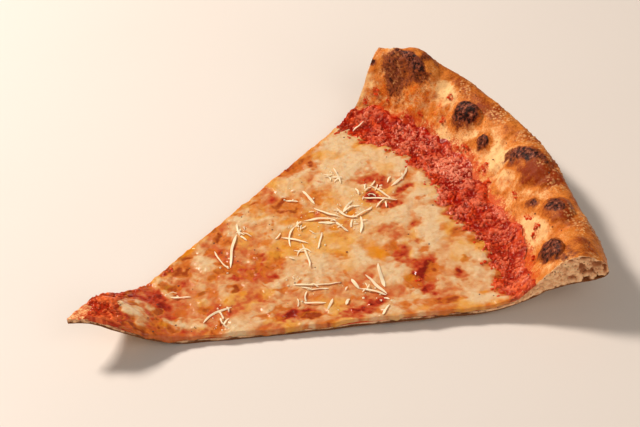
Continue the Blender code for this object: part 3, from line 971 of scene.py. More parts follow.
surface = add(
    "BsdfPrincipled",
    {
        "Base Color": colour,
        "Roughness": gloss,
        "IOR": 1.42,
        "Specular IOR Level": 0.14,
        "Normal": relief,
        "Subsurface Weight": 0.12,
        "Subsurface Radius": (1.0, 0.55, 0.3),
        "Subsurface Scale": 1.6 * MM,
    },
)
add("OutputMaterial", {"Surface": surface})
crust = make_piece("baked_dough", dough_grids, dough_masks, baked_dough)
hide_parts("dough")

# %% [markdown]
# ## The sauce
#
# Crushed tomato, cooked on the pie: soft lumps of pulp a millimetre or two wide in a thick
# red juice. It shows bare as a band between the cheese and the rim, and at the point; elsewhere
# it is a thin layer under the cheese, which the cuts show as a red line. The lumps are rounded
# cells of noise with finer creases between. Its edges wander, as a ladle leaves them.

# %% Sizes of the layers, as in the solids
GAP = 0.3
SAUCE_LAYER = 0.7
CHEESE_LAYER = 1.1
CHEESE_START = ((-1, 18.0), (-0.3, 20.0), (0.4, 25.0), (1, 34.0))
CHEESE_END = (
    (-1, 182.0), (-0.6, 180.5), (-0.1, 182.5), (0.1, 183.0),
    (0.35, 188.0), (0.58, 186.5), (0.78, 181.0), (1, 178.5),
)
ARC = 80.0  # millimetres across the half slice at the rim, for noise along an edge


def ragged(seed, across, reach, size=9.0):
    """An uneven offset, in millimetres, for an edge that crosses the slice."""
    return reach * layered_noise(seed, size, 3, np.asarray(across) * ARC)


def cheese_first(across):
    return read_smoothly(CHEESE_START, across) + ragged(61, across, 3.0, 14.0)


CHEESE_EDGE_WAVES = (
    # seed, reach, size: the edge towards the rim has broad bends, tongues and small nicks
    (62, 1.8, 12.0),
    (60, 2.8, 3.8),
    (59, 1.0, 1.6),
)


def cheese_last(across):
    edge = read_smoothly(CHEESE_END, across)
    for seed, reach, size in CHEESE_EDGE_WAVES:
        edge = edge + ragged(seed, across, reach, size)
    return edge


def sauce_first(across):
    return read_smoothly(SAUCE_START, across) + ragged(63, across, 1.4, 20.0)


def sauce_last(across):
    return read_smoothly(SAUCE_END, across) + ragged(64, across, 2.2)


print("cheese from", round(float(cheese_first(0.0)), 1), "to", round(float(cheese_last(0.0)), 1), "mm")

# %% Rows of points on the sauce
SAUCE_COLUMNS = 500
POINT_ROWS = 42
COVERED_ROWS = 16
BAND_ROWS = 84
SAUCE_UNDER_ROWS = 24
FINE_UNDER_CHEESE = 9.0  # how far the fine rows of the band go on under the cheese
FINE_AT_POINT = 6.0  # and how far those of the point do
sauce_across = np.linspace(-1, 1, SAUCE_COLUMNS + 1)
sauce_side = sauce_across[:, None]
start_row = sauce_first(sauce_across)
end_row = sauce_last(sauce_across)
band_start = cheese_last(sauce_across) - FINE_UNDER_CHEESE
tip_band_end = cheese_first(sauce_across) + FINE_AT_POINT
sauce_top_along = np.concatenate(
    [
        stretch(start_row, tip_band_end, POINT_ROWS),
        stretch(tip_band_end, band_start, COVERED_ROWS),
        stretch(band_start, end_row, BAND_ROWS),
        end_row[:, None],
    ],
    axis=1,
)
sauce_bottom_along = np.concatenate(
    [stretch(start_row, end_row, SAUCE_UNDER_ROWS), end_row[:, None]], axis=1
)
print("stations on the sauce:", sauce_top_along.shape[1])


# %% Height of the sauce
LUMP = 2.3
SMALL_LUMP = 1.5
FILM_HEIGHT = 0.55  # how high the sauce stands under the cheese
BARE_HEIGHT = 0.6  # how much higher it stands where it is bare
LUMP_HEIGHT = 1.7
BAND_RISE = (8.5, 6.0)  # how far under the cheese it starts to rise to the band, and over what length
POINT_RISE = 5.0  # the same for the point
END_SLOPE = (2.2, 3.2)  # how long the slopes at its first and its last end are
SUNK = 0.5  # the sauce's own underside lies this far inside the dough, so that no gap shows


def sauce_lumps(x, y):
    """Pulp from 0 to 1: rounded lumps with creases between them; and each lump's number."""
    coarser = 1 - 0.3 * eased((80 - np.hypot(x, y)) / 30)  # the lumps near the point are wider
    x, y = x * coarser, y * coarser
    drift = 0.9 * layered_noise(65, 2.0, 3, x, y)
    twist = 0.9 * layered_noise(68, 2.0, 3, x, y)
    away, number = nearest_cell(66, LUMP, x + drift, y + twist)
    lump = np.sqrt(np.maximum(0.0, 1 - (away / (0.3 + 0.45 * number)) ** 2))
    creased = np.abs(layered_noise(67, SMALL_LUMP, 3, x - twist, y + drift)) ** 0.8
    height = 0.42 * lump * (0.2 + 0.8 * number) + 0.75 * creased
    return np.clip(height + 0.38 * layered_noise(69, 4.0, 2, x, y), 0, 1.1), number


def sauce_height(across, along):
    """How high the sauce stands over the dough, and its lumps' heights and numbers."""
    x, y = plan_point(across, along)
    past = eased((along - cheese_last(across) + BAND_RISE[0]) / BAND_RISE[1])
    before = eased((cheese_first(across) + POINT_RISE - along) / POINT_RISE)
    bare = np.maximum(past, before)
    lumps, number = sauce_lumps(x, y)
    last = sauce_last(across)
    first = sauce_first(across)
    ends = eased((last - along) / END_SLOPE[1]) * eased((along - first) / END_SLOPE[0])
    height = FILM_HEIGHT + bare * (BARE_HEIGHT * ends + LUMP_HEIGHT * lumps * (0.35 + 0.65 * ends))
    return height * (0.25 + 0.75 * eased(np.minimum(last - along, along - first) / 1.2)), lumps, number


sauce_rise, sauce_lump, sauce_number = sauce_height(sauce_side, sauce_top_along)
print("sauce stands up to", round(float(sauce_rise.max()), 2), "mm")

# %% The sauce's ring
sauce_top = in_frame(sauce_side, sauce_top_along, dough_top(sauce_side, sauce_top_along) + sauce_rise)
sauce_bottom = in_frame(
    sauce_side, sauce_bottom_along, dough_top(sauce_side, sauce_bottom_along) - SUNK
)
sauce_ring = np.concatenate([sauce_bottom, sauce_top[:, ::-1]], axis=1)


def layer_grids(ring, bottom_count, top_along, bottom_along):
    """The ring and the two faces that close its cuts."""
    grids = [(ring, True)]
    for row in (0, -1):
        top_row = ring[row, bottom_count:][::-1]
        face = cut_face(top_row, top_along[row], ring[row, :bottom_count], bottom_along[row], 2)
        grids.append((face if row == 0 else face[::-1], False))
    return grids


def layer_mask(values, bottom_count, grids):
    """A mask known on a layer's top, carried round its ring, with the cuts taking their edge's."""
    below = np.repeat(values[:, :1], bottom_count, axis=1)
    parts = [np.concatenate([below, values[:, ::-1]], axis=1)]
    for row, (face, _) in zip((0, -1), grids[1:]):
        edge = np.repeat(values[row][:, None], face.shape[1], axis=1)
        parts.append(edge if row == 0 else edge[::-1])
    return parts


sauce_grids = layer_grids(sauce_ring, sauce_bottom.shape[1], sauce_top_along, sauce_bottom_along)
print("sauce grid:", sauce_ring.shape)

# %% What the sauce's material needs to know
sauce_x, sauce_y = sauce_top[..., 0], sauce_top[..., 1]
PINK_FAT_AND_HIGHLIGHT_PLACES = (
    # x, y, radius along x, radius along y, tilt, strength: places where fat has turned it pink and the lump
    # tops carry a painted highlight
    (74.0, 44.0, 9.0, 12.0, 20.0, 0.7),
    (80.0, 16.0, 9.0, 13.0, 0.0, 1.0),
    (73.0, -32.0, 5.0, 7.0, -20.0, 0.45),
    (66.0, -48.0, 5.0, 5.0, 0.0, 0.5),
)
MEAN_PINK_FAT_AND_HIGHLIGHT = 0.3
# where the lump tops get pink-white spots: partly milk fat, partly painted highlight
pink_fat_and_highlight = np.clip(MEAN_PINK_FAT_AND_HIGHLIGHT + 0.55 * layered_noise(58, 7.0, 3, sauce_x, sauce_y), 0, 0.75)
for i, (x, y, wide, deep, tilt, strength) in enumerate(PINK_FAT_AND_HIGHLIGHT_PLACES):
    mark = strength * marked(500 + i, sauce_x - x, sauce_y - y, wide, deep, tilt, raggedness=0.5)
    pink_fat_and_highlight = np.maximum(pink_fat_and_highlight, mark)
DRY_POINT_END = 48.0  # the sauce near the point has baked dry
DRY_CORNER = -50.0  # and so has the corner at the right-hand cut, past this place along y
baked_dry = 0.95 * eased((DRY_POINT_END - sauce_top_along) / 20)
baked_dry = baked_dry + 0.25 * (0.5 + layered_noise(70, 14.0, 3, sauce_x, sauce_y))
baked_dry = np.clip(np.maximum(baked_dry, 0.6 * eased((DRY_CORNER - sauce_y) / 14)), 0, 1)
sauce_masks = {
    "lump": layer_mask(sauce_lump, sauce_bottom.shape[1], sauce_grids),
    "tint": layer_mask(sauce_number, sauce_bottom.shape[1], sauce_grids),
    "pink_fat_and_highlight": layer_mask(pink_fat_and_highlight, sauce_bottom.shape[1], sauce_grids),
    "caught": layer_mask(baked_dry, sauce_bottom.shape[1], sauce_grids),
}
print("mean dusting:", round(float(pink_fat_and_highlight.mean()), 2))

# %% [markdown]
# Cooked tomato is wet, so it is glossy: water's index of refraction is 1.33 and the pulp's is a little
# higher. Light goes a millimetre or two into it, red furthest. The tops of the lumps are painted lighter as
# painted highlight, and the hollows between a deeper red as painted shade. In some places the tops also carry
# pink-white spots, which are partly milk fat and partly painted highlight. Orange oil floats on the juice,
# and a warm tint on the gloss stands for it. Without the tint the smooth patches look violet.

# %% Crushed tomato sauce
crushed_tomato, add = start_material("cooked_crushed_tomato")
place = add("TexCoord", give="Object")
risen = add("Attribute", give="Fac", attribute_name="lump")
tint = add("Attribute", give="Fac", attribute_name="tint")
pink_fat_and_highlight_share = add("Attribute", give="Fac", attribute_name="pink_fat_and_highlight")
pulp = add("TexNoise", {"Vector": place, "Scale": 1 / (0.9 * MM), "Detail": 4.0, "Roughness": 0.62})
fibre = add("TexNoise", {"Vector": place, "Scale": 1 / (0.45 * MM), "Detail": 2.0})
juice = add("Mix", {"Factor": tint, "A": paint("#820500"), "B": paint("#b41600")}, **COLOUR)
# by lump height the tops are painted lighter and the hollows darker: painted highlight and painted shade
top = add("MapRange", {"Value": risen, "From Min": 0.15, "From Max": 0.85}, **STEP)
flesh_and_highlight = add("Mix", {"Factor": pulp, "A": paint("#c22402"), "B": paint("#ec5c26")}, **COLOUR)
juice = add("Mix", {"Factor": top, "A": juice, "B": flesh_and_highlight}, **COLOUR)
# pink-white spots on the lump tops, partly milk fat and partly painted highlight
pink_spots_and_highlight = add("Math", {0: pulp, 1: 0.45}, operation="SUBTRACT")
pink_spots_and_highlight = add("Math", {0: pink_spots_and_highlight, 1: 3.5, 2: risen}, operation="MULTIPLY_ADD")
pink_spots_and_highlight = add("MapRange", {"Value": pink_spots_and_highlight, "From Min": 0.35, "From Max": 1.05}, **STEP)
pink_spots_and_highlight = add("Math", {0: pink_spots_and_highlight, 1: pink_fat_and_highlight_share}, operation="MULTIPLY")
juice = add("Mix", {"Factor": pink_spots_and_highlight, "A": juice, "B": paint("#f0987a")}, **COLOUR)
skin_bits = add("MapRange", {"Value": fibre, "From Min": 0.64, "From Max": 0.74}, **STEP)
juice = add("Mix", {"Factor": skin_bits, "A": juice, "B": paint("#8a0c04")}, **COLOUR)
browned = add("Attribute", give="Fac", attribute_name="caught")
# the baked-dry sauce too is painted lighter on the lump tops and darker in the hollows: painted highlight and
# painted shade
caught = add("Mix", {"Factor": top, "A": paint("#b8300e"), "B": paint("#f2743a")}, **COLOUR)
juice = add("Mix", {"Factor": browned, "A": juice, "B": caught}, **COLOUR)
wet = add("MapRange", {"Value": pulp, "From Min": 0.35, "From Max": 0.65, "To Min": 0.06, "To Max": 0.18})
relief = add("Bump", {"Height": pulp, "Strength": 0.4, "Distance": 0.45 * MM})
surface = add(
    "BsdfPrincipled",
    {
        "Base Color": juice,
        "Roughness": wet,
        "IOR": 1.36,
        "Specular IOR Level": 0.38,
        "Specular Tint": paint("#ffdfcc"),
        "Normal": relief,
        "Subsurface Weight": 0.2,
        "Subsurface Radius": (1.0, 0.3, 0.2),
        "Subsurface Scale": 1.4 * MM,
    },
)
add("OutputMaterial", {"Surface": surface})
sauce = make_piece("tomato_sauce", sauce_grids, sauce_masks, crushed_tomato)
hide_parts("sauce")

# %% [markdown]
# ## The cheese
#
# Low-moisture mozzarella, melted and set again. It has run into one sheet that is thick and
# creamy in some places and so thin in others that the sauce shines through, peach, pink or red.
# Orange oil from the sauce and the cheese has gathered in small pools, and the thinnest spots
# have browned. A painter would mix this with a few layers, and so does this piece: a mottled
# ground of noise, then named marks of each kind, each with a ragged edge.

# %% Marks on the cheese
# Each mark is (x, y, radius along x, radius along y, tilt in degrees, strength), in millimetres
# from the middle of the slice, with x along it and y towards the left-hand cut.
CREAM_MARKS = (
    (-87.0, 0.5, 4.4, 7.0, 15.0, 1.1),
    (-84.0, -7.0, 5.0, 3.0, 35.0, 0.95),
    (-82.0, 7.0, 2.8, 4.0, -25.0, 0.8),
    (-66.5, 12.0, 2.6, 9.0, 0.0, 0.75),
    (-72.0, -9.5, 5.0, 3.0, 0.0, 0.8),
    (-76.5, 1.5, 2.4, 3.4, 0.0, 0.6),
    (-43.0, 15.0, 4.0, 6.0, 0.0, 0.45),
    (-16.0, 37.0, 8.0, 4.0, 20.0, 0.6),
    (-14.0, -9.0, 6.0, 6.0, 0.0, 0.4),
    (-2.0, -2.0, 5.0, 8.0, 0.0, 0.55),
    (13.0, 43.0, 9.0, 5.0, 0.0, 0.5),
    (31.0, 46.0, 9.0, 8.0, 0.0, 0.85),
    (45.0, 60.0, 8.0, 8.0, 0.0, 0.95),
    (50.0, 46.0, 9.0, 7.0, 0.0, 0.8),
    (61.0, 38.0, 5.0, 9.0, 20.0, 0.9),
    (31.0, 28.0, 5.0, 8.0, 0.0, 0.6),
    (56.0, 10.0, 9.0, 3.5, 20.0, 0.9),
    (56.0, -2.0, 6.0, 8.0, 0.0, 1.0),
    (50.0, -12.0, 5.0, 9.0, -20.0, 1.0),
    (40.0, 4.0, 7.0, 2.8, 10.0, 0.8),
    (13.0, -12.0, 7.0, 5.0, 0.0, 0.6),
    (22.0, -27.0, 7.0, 5.0, 0.0, 0.55),
    (56.0, -32.0, 5.0, 7.0, 0.0, 0.5),
    (55.0, -48.0, 5.0, 7.0, 0.0, 0.5),
    (51.0, -65.0, 8.0, 3.5, -30.0, 1.0),
    (43.0, -61.0, 5.0, 3.5, 0.0, 0.7),
    (-62.0, -13.0, 7.0, 3.0, -25.0, 0.5),
)
TOAST_MARKS = (
    (-78.4, -8.4, 4.0, 2.6, 0.0, 0.9),
    (-66.0, -3.5, 3.0, 4.0, 0.0, 0.6),
    (-52.0, 21.0, 4.0, 3.0, 20.0, 0.9),
    (-47.0, 26.5, 4.0, 3.0, 0.0, 0.6),
    (-58.0, -20.0, 3.5, 2.2, 0.0, 0.8),
    (-49.5, -1.0, 1.8, 5.0, 0.0, 0.6),
    (-40.0, -2.0, 3.0, 3.0, 0.0, 0.6),
    (-30.0, 27.0, 3.4, 4.0, 0.0, 0.9),
    (-20.9, 25.4, 1.9, 2.4, 0.0, 1.0),
    (-15.2, 16.6, 3.2, 1.9, 0.0, 0.8),
    (-17.2, 5.4, 3.6, 3.6, 0.0, 0.8),
    (-8.0, 38.0, 5.0, 5.0, 0.0, 0.85),
    (-9.0, 22.0, 3.0, 4.0, 0.0, 0.5),
    (-32.0, -12.0, 2.0, 4.0, 0.0, 0.5),
    (4.0, 33.0, 7.0, 5.0, 0.0, 0.85),
    (17.0, 33.5, 4.0, 5.0, 0.0, 0.8),
    (7.0, 22.5, 6.5, 2.4, 0.0, 0.9),
    (18.0, 55.0, 7.5, 3.4, 25.0, 0.9),
    (27.2, 52.6, 3.2, 3.2, 0.0, 0.9),
    (32.0, 60.5, 5.0, 3.0, 25.0, 0.6),
    (14.0, 9.8, 2.6, 1.8, 0.0, 0.8),
    (25.8, 14.9, 2.8, 2.2, 0.0, 0.9),
    (56.8, 7.8, 2.4, 1.8, 0.0, 0.85),
    (8.4, -5.8, 3.2, 2.4, -35.0, 1.0),
    (28.0, -13.5, 5.5, 4.0, 0.0, 0.95),
    (55.5, -14.0, 4.5, 1.8, 38.0, 0.8),
    (40.6, -21.3, 2.6, 1.8, 0.0, 0.8),
    (51.9, -35.6, 2.2, 1.8, 0.0, 0.9),
    (25.5, -36.0, 3.0, 5.0, 0.0, 0.85),
    (37.0, -35.0, 6.0, 3.0, 35.0, 0.7),
    (23.5, -51.0, 5.0, 3.0, -20.0, 0.8),
    (34.0, -56.0, 5.0, 3.0, -20.0, 0.9),
    (13.0, -47.5, 3.5, 2.5, -20.0, 0.7),
    (-20.0, -33.0, 4.5, 2.6, -25.0, 0.9),
    (-33.0, -27.5, 3.5, 2.0, -25.0, 0.8),
    (60.0, -20.0, 3.0, 5.0, 0.0, 0.7),
    (61.0, 22.0, 3.0, 5.0, 0.0, 0.45),
)
RED_MARKS = (
    (-72.0, 10.0, 6.0, 4.0, 0.0, 0.3),
    (-70.0, 2.0, 4.0, 3.0, 0.0, 0.25),
    (-59.5, 22.8, 3.6, 2.4, 20.0, 1.0),
    (-60.0, 12.5, 3.5, 3.0, 0.0, 0.6),
    (-26.0, 3.0, 8.0, 6.0, 0.0, 0.75),
    (-23.4, 10.6, 3.0, 1.8, 0.0, 0.8),
    (-36.6, 3.2, 2.2, 1.8, 0.0, 0.7),
    (-24.5, -4.0, 4.0, 3.0, 0.0, 0.55),
    (-26.0, -29.2, 8.0, 3.0, -22.0, 1.0),
    (-5.0, -41.0, 6.5, 3.6, -20.0, 0.7),
    (4.0, -40.0, 5.0, 4.0, 0.0, 0.6),
    (-6.5, -35.0, 4.0, 2.0, 0.0, 0.5),
    (43.0, 31.5, 5.5, 4.0, -25.0, 0.9),
    (48.8, 26.0, 3.6, 4.8, -20.0, 1.0),
    (42.6, 11.2, 4.6, 3.6, 0.0, 0.95),
    (39.0, 19.5, 3.6, 4.6, 0.0, 0.85),
    (54.5, 17.6, 5.5, 1.4, 12.0, 0.85),
    (34.0, -1.5, 5.0, 2.4, 0.0, 0.6),
    (35.5, -5.0, 4.0, 4.0, 0.0, 0.55),
    (46.3, -5.4, 3.4, 2.6, 0.0, 0.8),
    (43.8, -15.8, 3.0, 1.6, 0.0, 0.6),
    (31.5, -22.0, 3.6, 8.0, 0.0, 0.85),
    (29.2, -36.5, 4.2, 4.0, 0.0, 1.0),
    (34.0, -32.0, 6.6, 3.6, 30.0, 0.95),
    (38.0, -26.5, 4.0, 2.4, 0.0, 0.45),
    (46.0, -42.5, 2.2, 4.0, 0.0, 0.8),
    (30.0, -43.0, 3.4, 4.4, -25.0, 0.95),
    (29.6, -54.4, 3.2, 2.0, -20.0, 0.95),
    (57.0, 57.0, 5.0, 2.0, 35.0, 0.9),
    (18.5, 56.5, 4.0, 2.0, 25.0, 0.6),
    (51.0, 41.0, 3.0, 1.6, 0.0, 0.4),
    (0.0, 39.5, 2.0, 2.0, 0.0, 0.3),
    (60.0, -66.0, 1.6, 6.0, -25.0, 0.6),
)
POOL_MARKS = (
    (22.0, -13.0, 3.6, 5.0, 10.0, 1.0),
    (23.0, -6.5, 2.4, 2.4, 0.0, 0.6),
    (14.0, 9.6, 2.0, 1.4, 0.0, 0.8),
    (25.9, 14.6, 2.0, 1.6, 0.0, 0.7),
    (-1.4, 23.6, 3.0, 2.2, 0.0, 0.8),
    (-47.0, 29.4, 4.6, 2.4, 20.0, 0.8),
    (-38.5, -6.8, 1.8, 1.6, 0.0, 0.7),
    (-76.0, -9.0, 2.0, 1.4, 0.0, 0.7),
    (46.6, -57.8, 2.6, 1.6, 0.0, 0.9),
    (26.0, -33.0, 2.0, 3.0, 0.0, 0.6),
    (20.0, -54.0, 3.0, 1.8, -20.0, 0.7),
    (0.0, 16.5, 2.0, 1.6, 0.0, 0.5),
    (24.0, 24.0, 6.0, 4.0, 0.0, 0.3),
)
print("marks:", len(CREAM_MARKS + TOAST_MARKS + RED_MARKS + POOL_MARKS))


# %% The cheese's mottled ground
MARK_WINDOW = 16.0  # beyond this distance next to nothing of a mark is left, and it is left out


def laid_marks(seed, x, y, marks, raggedness, softness):
    """The strongest of the marks at each place."""
    shown = np.zeros(np.shape(x))
    for i, (middle_x, middle_y, wide, deep, tilt, strength) in enumerate(marks):
        close = (np.abs(x - middle_x) < MARK_WINDOW) & (np.abs(y - middle_y) < MARK_WINDOW)
        near_x, near_y = x[close] - middle_x, y[close] - middle_y
        mark = strength * marked(seed + i, near_x, near_y, wide, deep, tilt, raggedness, softness)
        shown[close] = np.maximum(shown[close], mark)
    return shown


def surface_places(x, y):
    """The (across, along) of points in the frame; the small swell at the tip is left out."""
    from_x, from_y = x - CENTRE_X, y - CENTRE_Y
    return np.arctan2(from_y, from_x) / math.radians(SLICE_ANGLE / 2), np.hypot(from_x, from_y)


DRIFT = 3.0  # how far the melt has carried the patches about
RICH_MIDDLE = (14.0, 14.0)  # the most golden place
RICH_REACH = (30.0, 22.0)
POINT_THIN_AND_SHADED = -52.0  # past this place along x, towards the point, the cheese is thinner and painted darker, as painted shade where the drooping point gets less light


def cheese_looks(x, y):
    """How golden, thin, toasted and oily the cheese is at each place, from 0 to about 1."""
    # unevenness of four sizes, and the flow of the melt has shifted the larger three about
    drift_x = DRIFT * layered_noise(71, 9.0, 3, x, y)
    drift_y = DRIFT * layered_noise(72, 9.0, 3, x, y)
    ground = layered_noise(73, 12.0, 3, x + drift_x, y + drift_y)
    middle = layered_noise(70, 5.0, 4, x + drift_x, y + drift_y)
    flecks = layered_noise(74, 4.6, 3, x + drift_x, y - drift_y)
    small = layered_noise(75, 1.8, 3, x, y)
    creamy = laid_marks(600, x, y, CREAM_MARKS, raggedness=0.6, softness=1.2)
    toasted = laid_marks(700, x, y, TOAST_MARKS, raggedness=0.6, softness=1.0)
    red = laid_marks(800, x, y, RED_MARKS, raggedness=0.6, softness=1.0)
    pool = laid_marks(900, x, y, POOL_MARKS, raggedness=0.4, softness=0.9)
    # where on the slice: towards the point, at the ends of the cheese, and beside the cuts
    towards_point = eased((30 - x) / 100)
    across, along = surface_places(x, y)
    at_end = eased(1 - (cheese_last(across) - along) / 9.0) * (0.7 + ground + 0.8 * middle)
    at_end = at_end + 0.35 * eased(1 - (along - cheese_first(across)) / 8.0)
    at_cut = eased(1 - (1 - np.abs(across)) * direction(1.0) * along / 3.5)
    # thin where the noise says so, thicker on cream marks, thinner on red ones and at the ends; towards the
    # point it is thinner and painted darker, as painted shade
    thin = 0.38 + 0.16 * towards_point + 0.26 * ground + 0.26 * middle + 0.11 * small
    thin = thin - (0.38 + 0.25 * towards_point) * creamy * (1 - 0.3 * middle)
    thin = thin + 0.60 * red * (1 + 0.25 * small) + 0.42 * at_end
    thin = thin + 0.6 * eased(1 - (cheese_last(across) - along) / 2.2)
    # towards the drooping point, which gets less light, the cheese is painted darker: painted shade
    thin = thin + 0.2 * eased((POINT_THIN_AND_SHADED - x) / 14)
    # toasted on its marks, along the cuts, in a border near the rim, and in flecks
    toast = 0.9 * toasted * (0.85 + 0.3 * small) + 0.5 * at_cut * (0.6 + middle)
    bordering = eased(1 - (cheese_last(across) - along) / 7.0)
    toast = toast + 0.9 * bordering * eased(0.5 + 1.1 * middle - 0.012 * (y - 10))
    flecked = eased((flecks - 0.22 + 0.16 * towards_point - 0.2 * creamy) / 0.6)
    toast = toast + flecked * (0.5 + 0.55 * towards_point)
    # golden with fat in broad patches, along the left-hand cut, and most of all in the middle
    gold = eased((layered_noise(80, 11.0, 3, x + drift_y, y + drift_x) - 0.05) / 0.6) * (1 - creamy)
    gold = gold + 0.6 * at_cut * (across > 0)
    from_rich = np.hypot((x - RICH_MIDDLE[0]) / RICH_REACH[0], (y - RICH_MIDDLE[1]) / RICH_REACH[1])
    gold = gold + 0.75 * eased(1.3 - from_rich) * (0.7 + middle)
    return {
        "gold": np.clip(gold, 0, 1),
        "thin": np.clip(thin, 0, 1.2),
        "toast": np.clip(toast, 0, 1.2),
        "pool": np.clip(pool, 0, 1),
    }


print("looks:", ", ".join(cheese_looks(np.zeros(1), np.zeros(1))))

# %% [markdown]
# The looks also shape the surface: creamy places are thick and stand up, thin and oily ones are
# hollows. The cheese is rounded at both ends. Where it was cut it has sagged over the edge a
# little, here more and there less, as melted cheese does behind a wheel cutter.

# %% Height of the cheese
EDGE_ROUND = 5.0
LAYER_EDGE = 0.2
LEAST_BODY = 0.35  # how thin the cheese can get


def cheese_height(across, along, looks):
    """Height of the cheese's top over the surface that the slice lies on."""
    x, y = plan_point(across, along)
    # creamy cheese is thick, and toasted cheese has sunk
    body = CHEESE_LAYER + 0.9 * (0.45 - looks["thin"]) - 0.2 * looks["toast"]
    body = body + 0.28 * layered_noise(76, 3.6, 3, x, y) + 0.14 * layered_noise(77, 1.5, 2, x, y)
    to_sauce = cheese_last(across) - along
    nearest = np.minimum(along - cheese_first(across), to_sauce)
    share = 0.5 * np.clip(nearest / EDGE_ROUND, 0, 1)
    share = share + 0.5 * np.sqrt(np.maximum(0.0, 1 - (1 - np.clip(nearest / EDGE_ROUND, 0, 1)) ** 2))
    # lumps of sauce push up through it near its end, and wherever it is thin
    poking = np.maximum(0.7 * eased(1 - to_sauce / 9.0), 0.9 * eased((looks["thin"] - 0.66) / 0.3))
    body = body + poking * sauce_lumps(x, y)[0]
    thick = LAYER_EDGE + (np.maximum(body, LEAST_BODY) - LAYER_EDGE) * share
    return dough_top(across, along) + GAP + SAUCE_LAYER + thick


CHEESE_COLUMNS = 250
CHEESE_ROWS = 270
ROUNDED_ROWS = 6
CHEESE_UNDER_ROWS = 30
cheese_across = np.linspace(-1, 1, CHEESE_COLUMNS + 1)
cheese_side = cheese_across[:, None]
first_row = cheese_first(cheese_across)
last_row = cheese_last(cheese_across)
round_start = last_row - EDGE_ROUND
cheese_top_along = np.concatenate(
    [stretch(first_row, round_start, CHEESE_ROWS), quarter_round(round_start, last_row, ROUNDED_ROWS)],
    axis=1,
)
cheese_bottom_along = np.concatenate(
    [stretch(first_row, last_row, CHEESE_UNDER_ROWS), last_row[:, None]], axis=1
)
plan_x, plan_y = plan_point(cheese_side, cheese_top_along)
looks = cheese_looks(plan_x + CENTRE_X, plan_y + CENTRE_Y)
cheese_top = in_frame(cheese_side, cheese_top_along, cheese_height(cheese_side, cheese_top_along, looks))
cheese_bottom = in_frame(
    cheese_side, cheese_bottom_along, dough_top(cheese_side, cheese_bottom_along) + GAP
)
print("cheese grid:", cheese_top.shape)

# %% The cheese hanging over the cuts
HANG_STEPS = ((0.45, 0.10), (0.9, 0.40), (1.0, 0.75), (0.7, 1.0))  # shares outward and down
HANG_OUT = 0.8
HANG_DOWN = (1.5, 1.9)  # the least, and how much more noise adds


def hang_over(top, bottom, along, row, seed):
    """Rows of points that carry the top of the cheese out over a cut and down."""
    side = direction(cheese_across[row])
    outward = np.array([-math.sin(side), math.cos(side), 0.0]) * np.sign(cheese_across[row])
    uneven = 0.5 + 0.5 * layered_noise(seed, 7.0, 3, along[row])
    ends = eased((along[row] - along[row][0]) / 4) * eased((along[row][-1] - along[row]) / 4)
    out = HANG_OUT * (0.1 + 0.9 * uneven + 0.5 * layered_noise(seed + 3, 2.6, 2, along[row])) * ends
    down = (HANG_DOWN[0] + HANG_DOWN[1] * uneven**2) * (0.3 + 0.7 * ends)
    rows = []
    for share_out, share_down in HANG_STEPS:
        step = top[row] + outward * (out * share_out)[:, None]
        step = step - np.array([0.0, 0.0, 1.0]) * (down * share_down)[:, None]
        rows.append(step)
    return np.stack(rows), np.repeat(bottom[row][None], len(rows), axis=0)


right_hang, right_foot = hang_over(cheese_top, cheese_bottom, cheese_top_along, 0, 78)
left_hang, left_foot = hang_over(cheese_top, cheese_bottom, cheese_top_along, -1, 79)
hung_top = np.concatenate([right_hang[::-1], cheese_top, left_hang])
hung_bottom = np.concatenate([right_foot, cheese_bottom, left_foot])
hung_rows = [0] * len(HANG_STEPS) + list(range(len(cheese_across))) + [-1] * len(HANG_STEPS)
cheese_ring = np.concatenate([hung_bottom, hung_top[:, ::-1]], axis=1)
cheese_grids = layer_grids(
    cheese_ring, hung_bottom.shape[1], cheese_top_along[hung_rows], cheese_bottom_along[hung_rows]
)
cheese_masks = {
    name: layer_mask(values[hung_rows], hung_bottom.shape[1], cheese_grids) for name, values in looks.items()
}
print("cheese ring:", cheese_ring.shape)

# %% [markdown]
# Melted mozzarella is a milky solid full of fat: light enters it and comes out again nearby,
# which rounds off small shadows, and its oily skin gives a soft gloss. Milk fat has an index of
# refraction of about 1.45 and water of 1.33, and the cheese is a mix of both. Where oil stands in
# pools the gloss is sharper.

# %% Melted mozzarella
THIN_SHADES = (
    # how thin the cheese is where the shade starts to show and where it is full, and its colour
    (0.15, 0.46, "#d99b62"),
    (0.42, 0.66, "#cb6c38"),
    (0.66, 0.88, "#bc3e1a"),
    (0.88, 1.10, "#8e1c07"),
)
melted, add = start_material("melted_low_moisture_mozzarella")
place = add("TexCoord", give="Object")
thin = add("Attribute", give="Fac", attribute_name="thin")
toasty = add("Attribute", give="Fac", attribute_name="toast")
pooled = add("Attribute", give="Fac", attribute_name="pool")
curd = add("TexNoise", {"Vector": place, "Scale": 1 / (3.0 * MM), "Detail": 4.0, "Roughness": 0.5})
fine = add("TexNoise", {"Vector": place, "Scale": 1 / (0.8 * MM), "Detail": 3.0})
stir = add("Math", {0: curd, 1: 0.5}, operation="SUBTRACT")
thinned = add("Math", {0: stir, 1: 0.4, 2: thin}, operation="MULTIPLY_ADD")
mottle = add("TexNoise", {"Vector": place, "Scale": 1 / (2.4 * MM), "Detail": 4.0, "Roughness": 0.6})
mottle = add("MapRange", {"Value": mottle, "From Min": 0.44, "From Max": 0.7, "To Max": 0.6}, **STEP)
milk = add("Mix", {"Factor": mottle, "A": paint("#e4c498"), "B": paint("#d6a06a")}, **COLOUR)
for start, end, shade_code in THIN_SHADES:
    share = add("MapRange", {"Value": thinned, "From Min": start, "From Max": end})
    milk = add("Mix", {"Factor": share, "A": milk, "B": paint(shade_code)}, **COLOUR)
browner = add("Math", {0: stir, 1: 0.5, 2: toasty}, operation="MULTIPLY_ADD")
